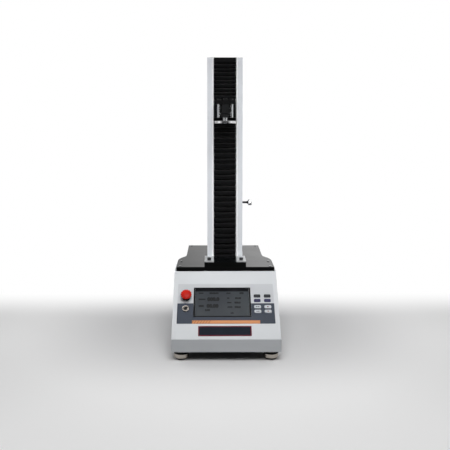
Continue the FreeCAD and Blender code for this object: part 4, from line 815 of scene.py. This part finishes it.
def makeFloor(paint):
    # A wide flat sheet, darker grey round the stand as painted shade, and paler with distance. What is seen of
    # it behind and far off turns to white. Polished things mirror it dimmer, and it throws back less light
    # than it shows.
    line = np.linspace(-paint["reach"], paint["reach"], 3)
    points = np.stack(np.meshgrid(line, line), -1)
    points = np.concatenate([points, np.zeros((3, 3, 1))], -1)
    mesh = bpy.data.meshes.new("studioFloor")
    mesh.from_pydata(points.reshape(-1, 3).tolist(), [], gridFaces(3, 3))
    floor = bpy.data.objects.new("studioFloor", mesh)
    bpy.context.scene.collection.objects.link(floor)
    material = newMaterial("paintedStudioFloor", paint["near"], 0.85, Specular_IOR_Level=0.1)
    tree, shader, place = partsOf(material)
    rays = addNode(tree, "LightPath").outputs
    distance = addNode(tree, "VectorMath", {0: place, 1: paint["middle"]}, operation="DISTANCE")
    away, far = (addNode(tree, "MapRange", {"Value": distance, "From Min": start, "From Max": end}, **smooth)
                 for start, end in (paint["pale"], paint["white"]))
    # painted shade: darker near the stand, paler with distance
    painted = addNode(tree, "Mix", {"Factor": away, 6: paint["near"], 7: paint["far"]}, data_type="RGBA")
    shown = addNode(tree, "Math", {0: rays["Is Glossy Ray"], 1: paint["mirrored"], 2: rays["Is Camera Ray"]},
                    operation="MULTIPLY_ADD")
    colour = addNode(tree, "Mix", {"Factor": shown, 6: paint["bounce"], 7: painted}, data_type="RGBA")
    tree.links.new(colour.outputs[2], shader.inputs["Base Color"])

    back = addNode(tree, "SeparateXYZ", {0: place}).outputs["Y"]
    behind = addNode(tree, "MapRange", {"Value": back, "From Min": paint["behind"][0],
                                        "From Max": paint["behind"][1]}, **smooth)
    white = addNode(tree, "Math", {0: behind, 1: far}, operation="MAXIMUM")
    looked = addNode(tree, "Math", {0: rays["Is Camera Ray"], 1: rays["Is Glossy Ray"]}, operation="MAXIMUM")
    seen = addNode(tree, "Math", {0: looked, 1: rays["Is Transmission Ray"]}, operation="MAXIMUM")
    share = addNode(tree, "Math", {0: white, 1: seen}, operation="MULTIPLY")
    glow = addNode(tree, "Emission", {"Color": "#ffffff", "Strength": 1.0})
    mixed = addNode(tree, "MixShader", {0: share, 1: shader, 2: glow})
    tree.links.new(mixed.outputs[0], tree.nodes["Material Output"].inputs["Surface"])
    mesh.materials.append(material)


makeFloor(floorPaint)


def aimed(direction):
    # the turn that points a lamp along a direction
    x, y, z = direction
    return (math.pi / 2 + math.atan2(z, math.hypot(x, y)), 0, -math.atan2(x, y))


def addLamp(name, place, target, size, power, spread=180):
    # a soft rectangular lamp that looks from its place to its target
    lamp = bpy.data.lights.new(name, "AREA")
    lamp.shape, lamp.size, lamp.size_y = "RECTANGLE", size[0], size[1]
    lamp.energy = power
    lamp.spread = math.radians(spread)
    holder = bpy.data.objects.new(name, lamp)
    bpy.context.scene.collection.objects.link(holder)
    holder.location = place
    holder.rotation_euler = aimed(np.array(target, float) - np.array(place, float))


addLamp("keyLamp", (0.1, -1.25, 2.3), (0, -0.2, 0.2), (1.6, 1.0), lampPower["key"], spread=100)
addLamp("columnLamp", (0.0, -1.3, 1.2), (0, 0, 0.42), (0.6, 0.3), lampPower["column"], spread=50)
for side, name in ((-1, "left"), (1, "right")):
    addLamp(name + "Lamp", (side * 2.0, -0.8, 1.2), (0, 0, 0.5), (1.0, 1.6), lampPower["fill"])
    addLamp("back" + name.capitalize() + "Lamp", (side * 1.9, 1.3, 1.7), (0, 0.1, 0.4), (1.2, 1.2),
            lampPower["back"])


def mirroredRoom(tree):
    # What polished things mirror: a dim room before the stand, pale walls at its sides, and behind it a wall
    # that grows paler to the right.
    toward = addNode(tree, "SeparateXYZ", {0: addNode(tree, "TexCoord").outputs["Generated"]}).outputs
    wall = addNode(tree, "MapRange", {"Value": toward["X"], "From Min": -room["wallTurn"],
                                      "From Max": room["wallTurn"], "To Min": room["wallLeft"],
                                      "To Max": room["wallRight"]})
    aside = addNode(tree, "Math", {0: toward["X"]}, operation="ABSOLUTE")
    front = addNode(tree, "MapRange", {"Value": aside, "From Min": room["sideFrom"],
                                       "From Max": room["sideTo"], "To Min": room["front"],
                                       "To Max": room["side"]}, **smooth)
    behind = addNode(tree, "MapRange", {"Value": toward["Y"], "From Min": room["frontTo"],
                                        "From Max": room["wallFrom"]}, **smooth)
    return addNode(tree, "Mix", {0: behind, 2: front, 3: wall})


def lightWorld():
    # plain white to the camera and through glass, the mirrored room to polish, and a low level on all else
    world = bpy.data.worlds.new("studioWorld")
    bpy.context.scene.world = world
    world.use_nodes = True
    tree = world.node_tree
    backdrop = tree.nodes["Background"]
    backdrop.inputs["Color"].default_value = linear("#ffffff")
    rays = addNode(tree, "LightPath").outputs
    direct = addNode(tree, "Math", {0: rays["Is Camera Ray"], 1: rays["Is Transmission Ray"]},
                     operation="MAXIMUM")
    lit = addNode(tree, "Mix", {0: rays["Is Glossy Ray"], 2: room["lit"], 3: mirroredRoom(tree)})
    strength = addNode(tree, "Mix", {0: direct, 2: lit, 3: 1.0})
    tree.links.new(strength.outputs[0], backdrop.inputs["Strength"])


lightWorld()

# focal length and centre in pixels of a square frame, angles in radians
camera = {"focal": 636.71, "centre": (218.37, 169.79), "frame": 450, "pitch": 0.06374, "yaw": 0.00705,
          "place": (-0.03817, -0.29425 - 1.92912, 0.71828), "sensor": 36.0}


def placeCamera(view):
    # The focal length in pixels becomes millimetres on the sensor; the shift carries the crop of the picture.
    data = bpy.data.cameras.new("photoCamera")
    data.sensor_width = view["sensor"]
    data.lens = view["focal"] / view["frame"] * view["sensor"]
    data.shift_x = (view["frame"] / 2 - view["centre"][0]) / view["frame"]
    data.shift_y = (view["centre"][1] - view["frame"] / 2) / view["frame"]
    data.clip_end = 50
    holder = bpy.data.objects.new("photoCamera", data)
    bpy.context.scene.collection.objects.link(holder)
    holder.location = view["place"]
    holder.rotation_euler = (math.pi / 2 - view["pitch"], 0, -view["yaw"])
    bpy.context.scene.camera = holder


placeCamera(camera)
bpy.context.scene.view_settings.view_transform = "Standard"
print("studio set")
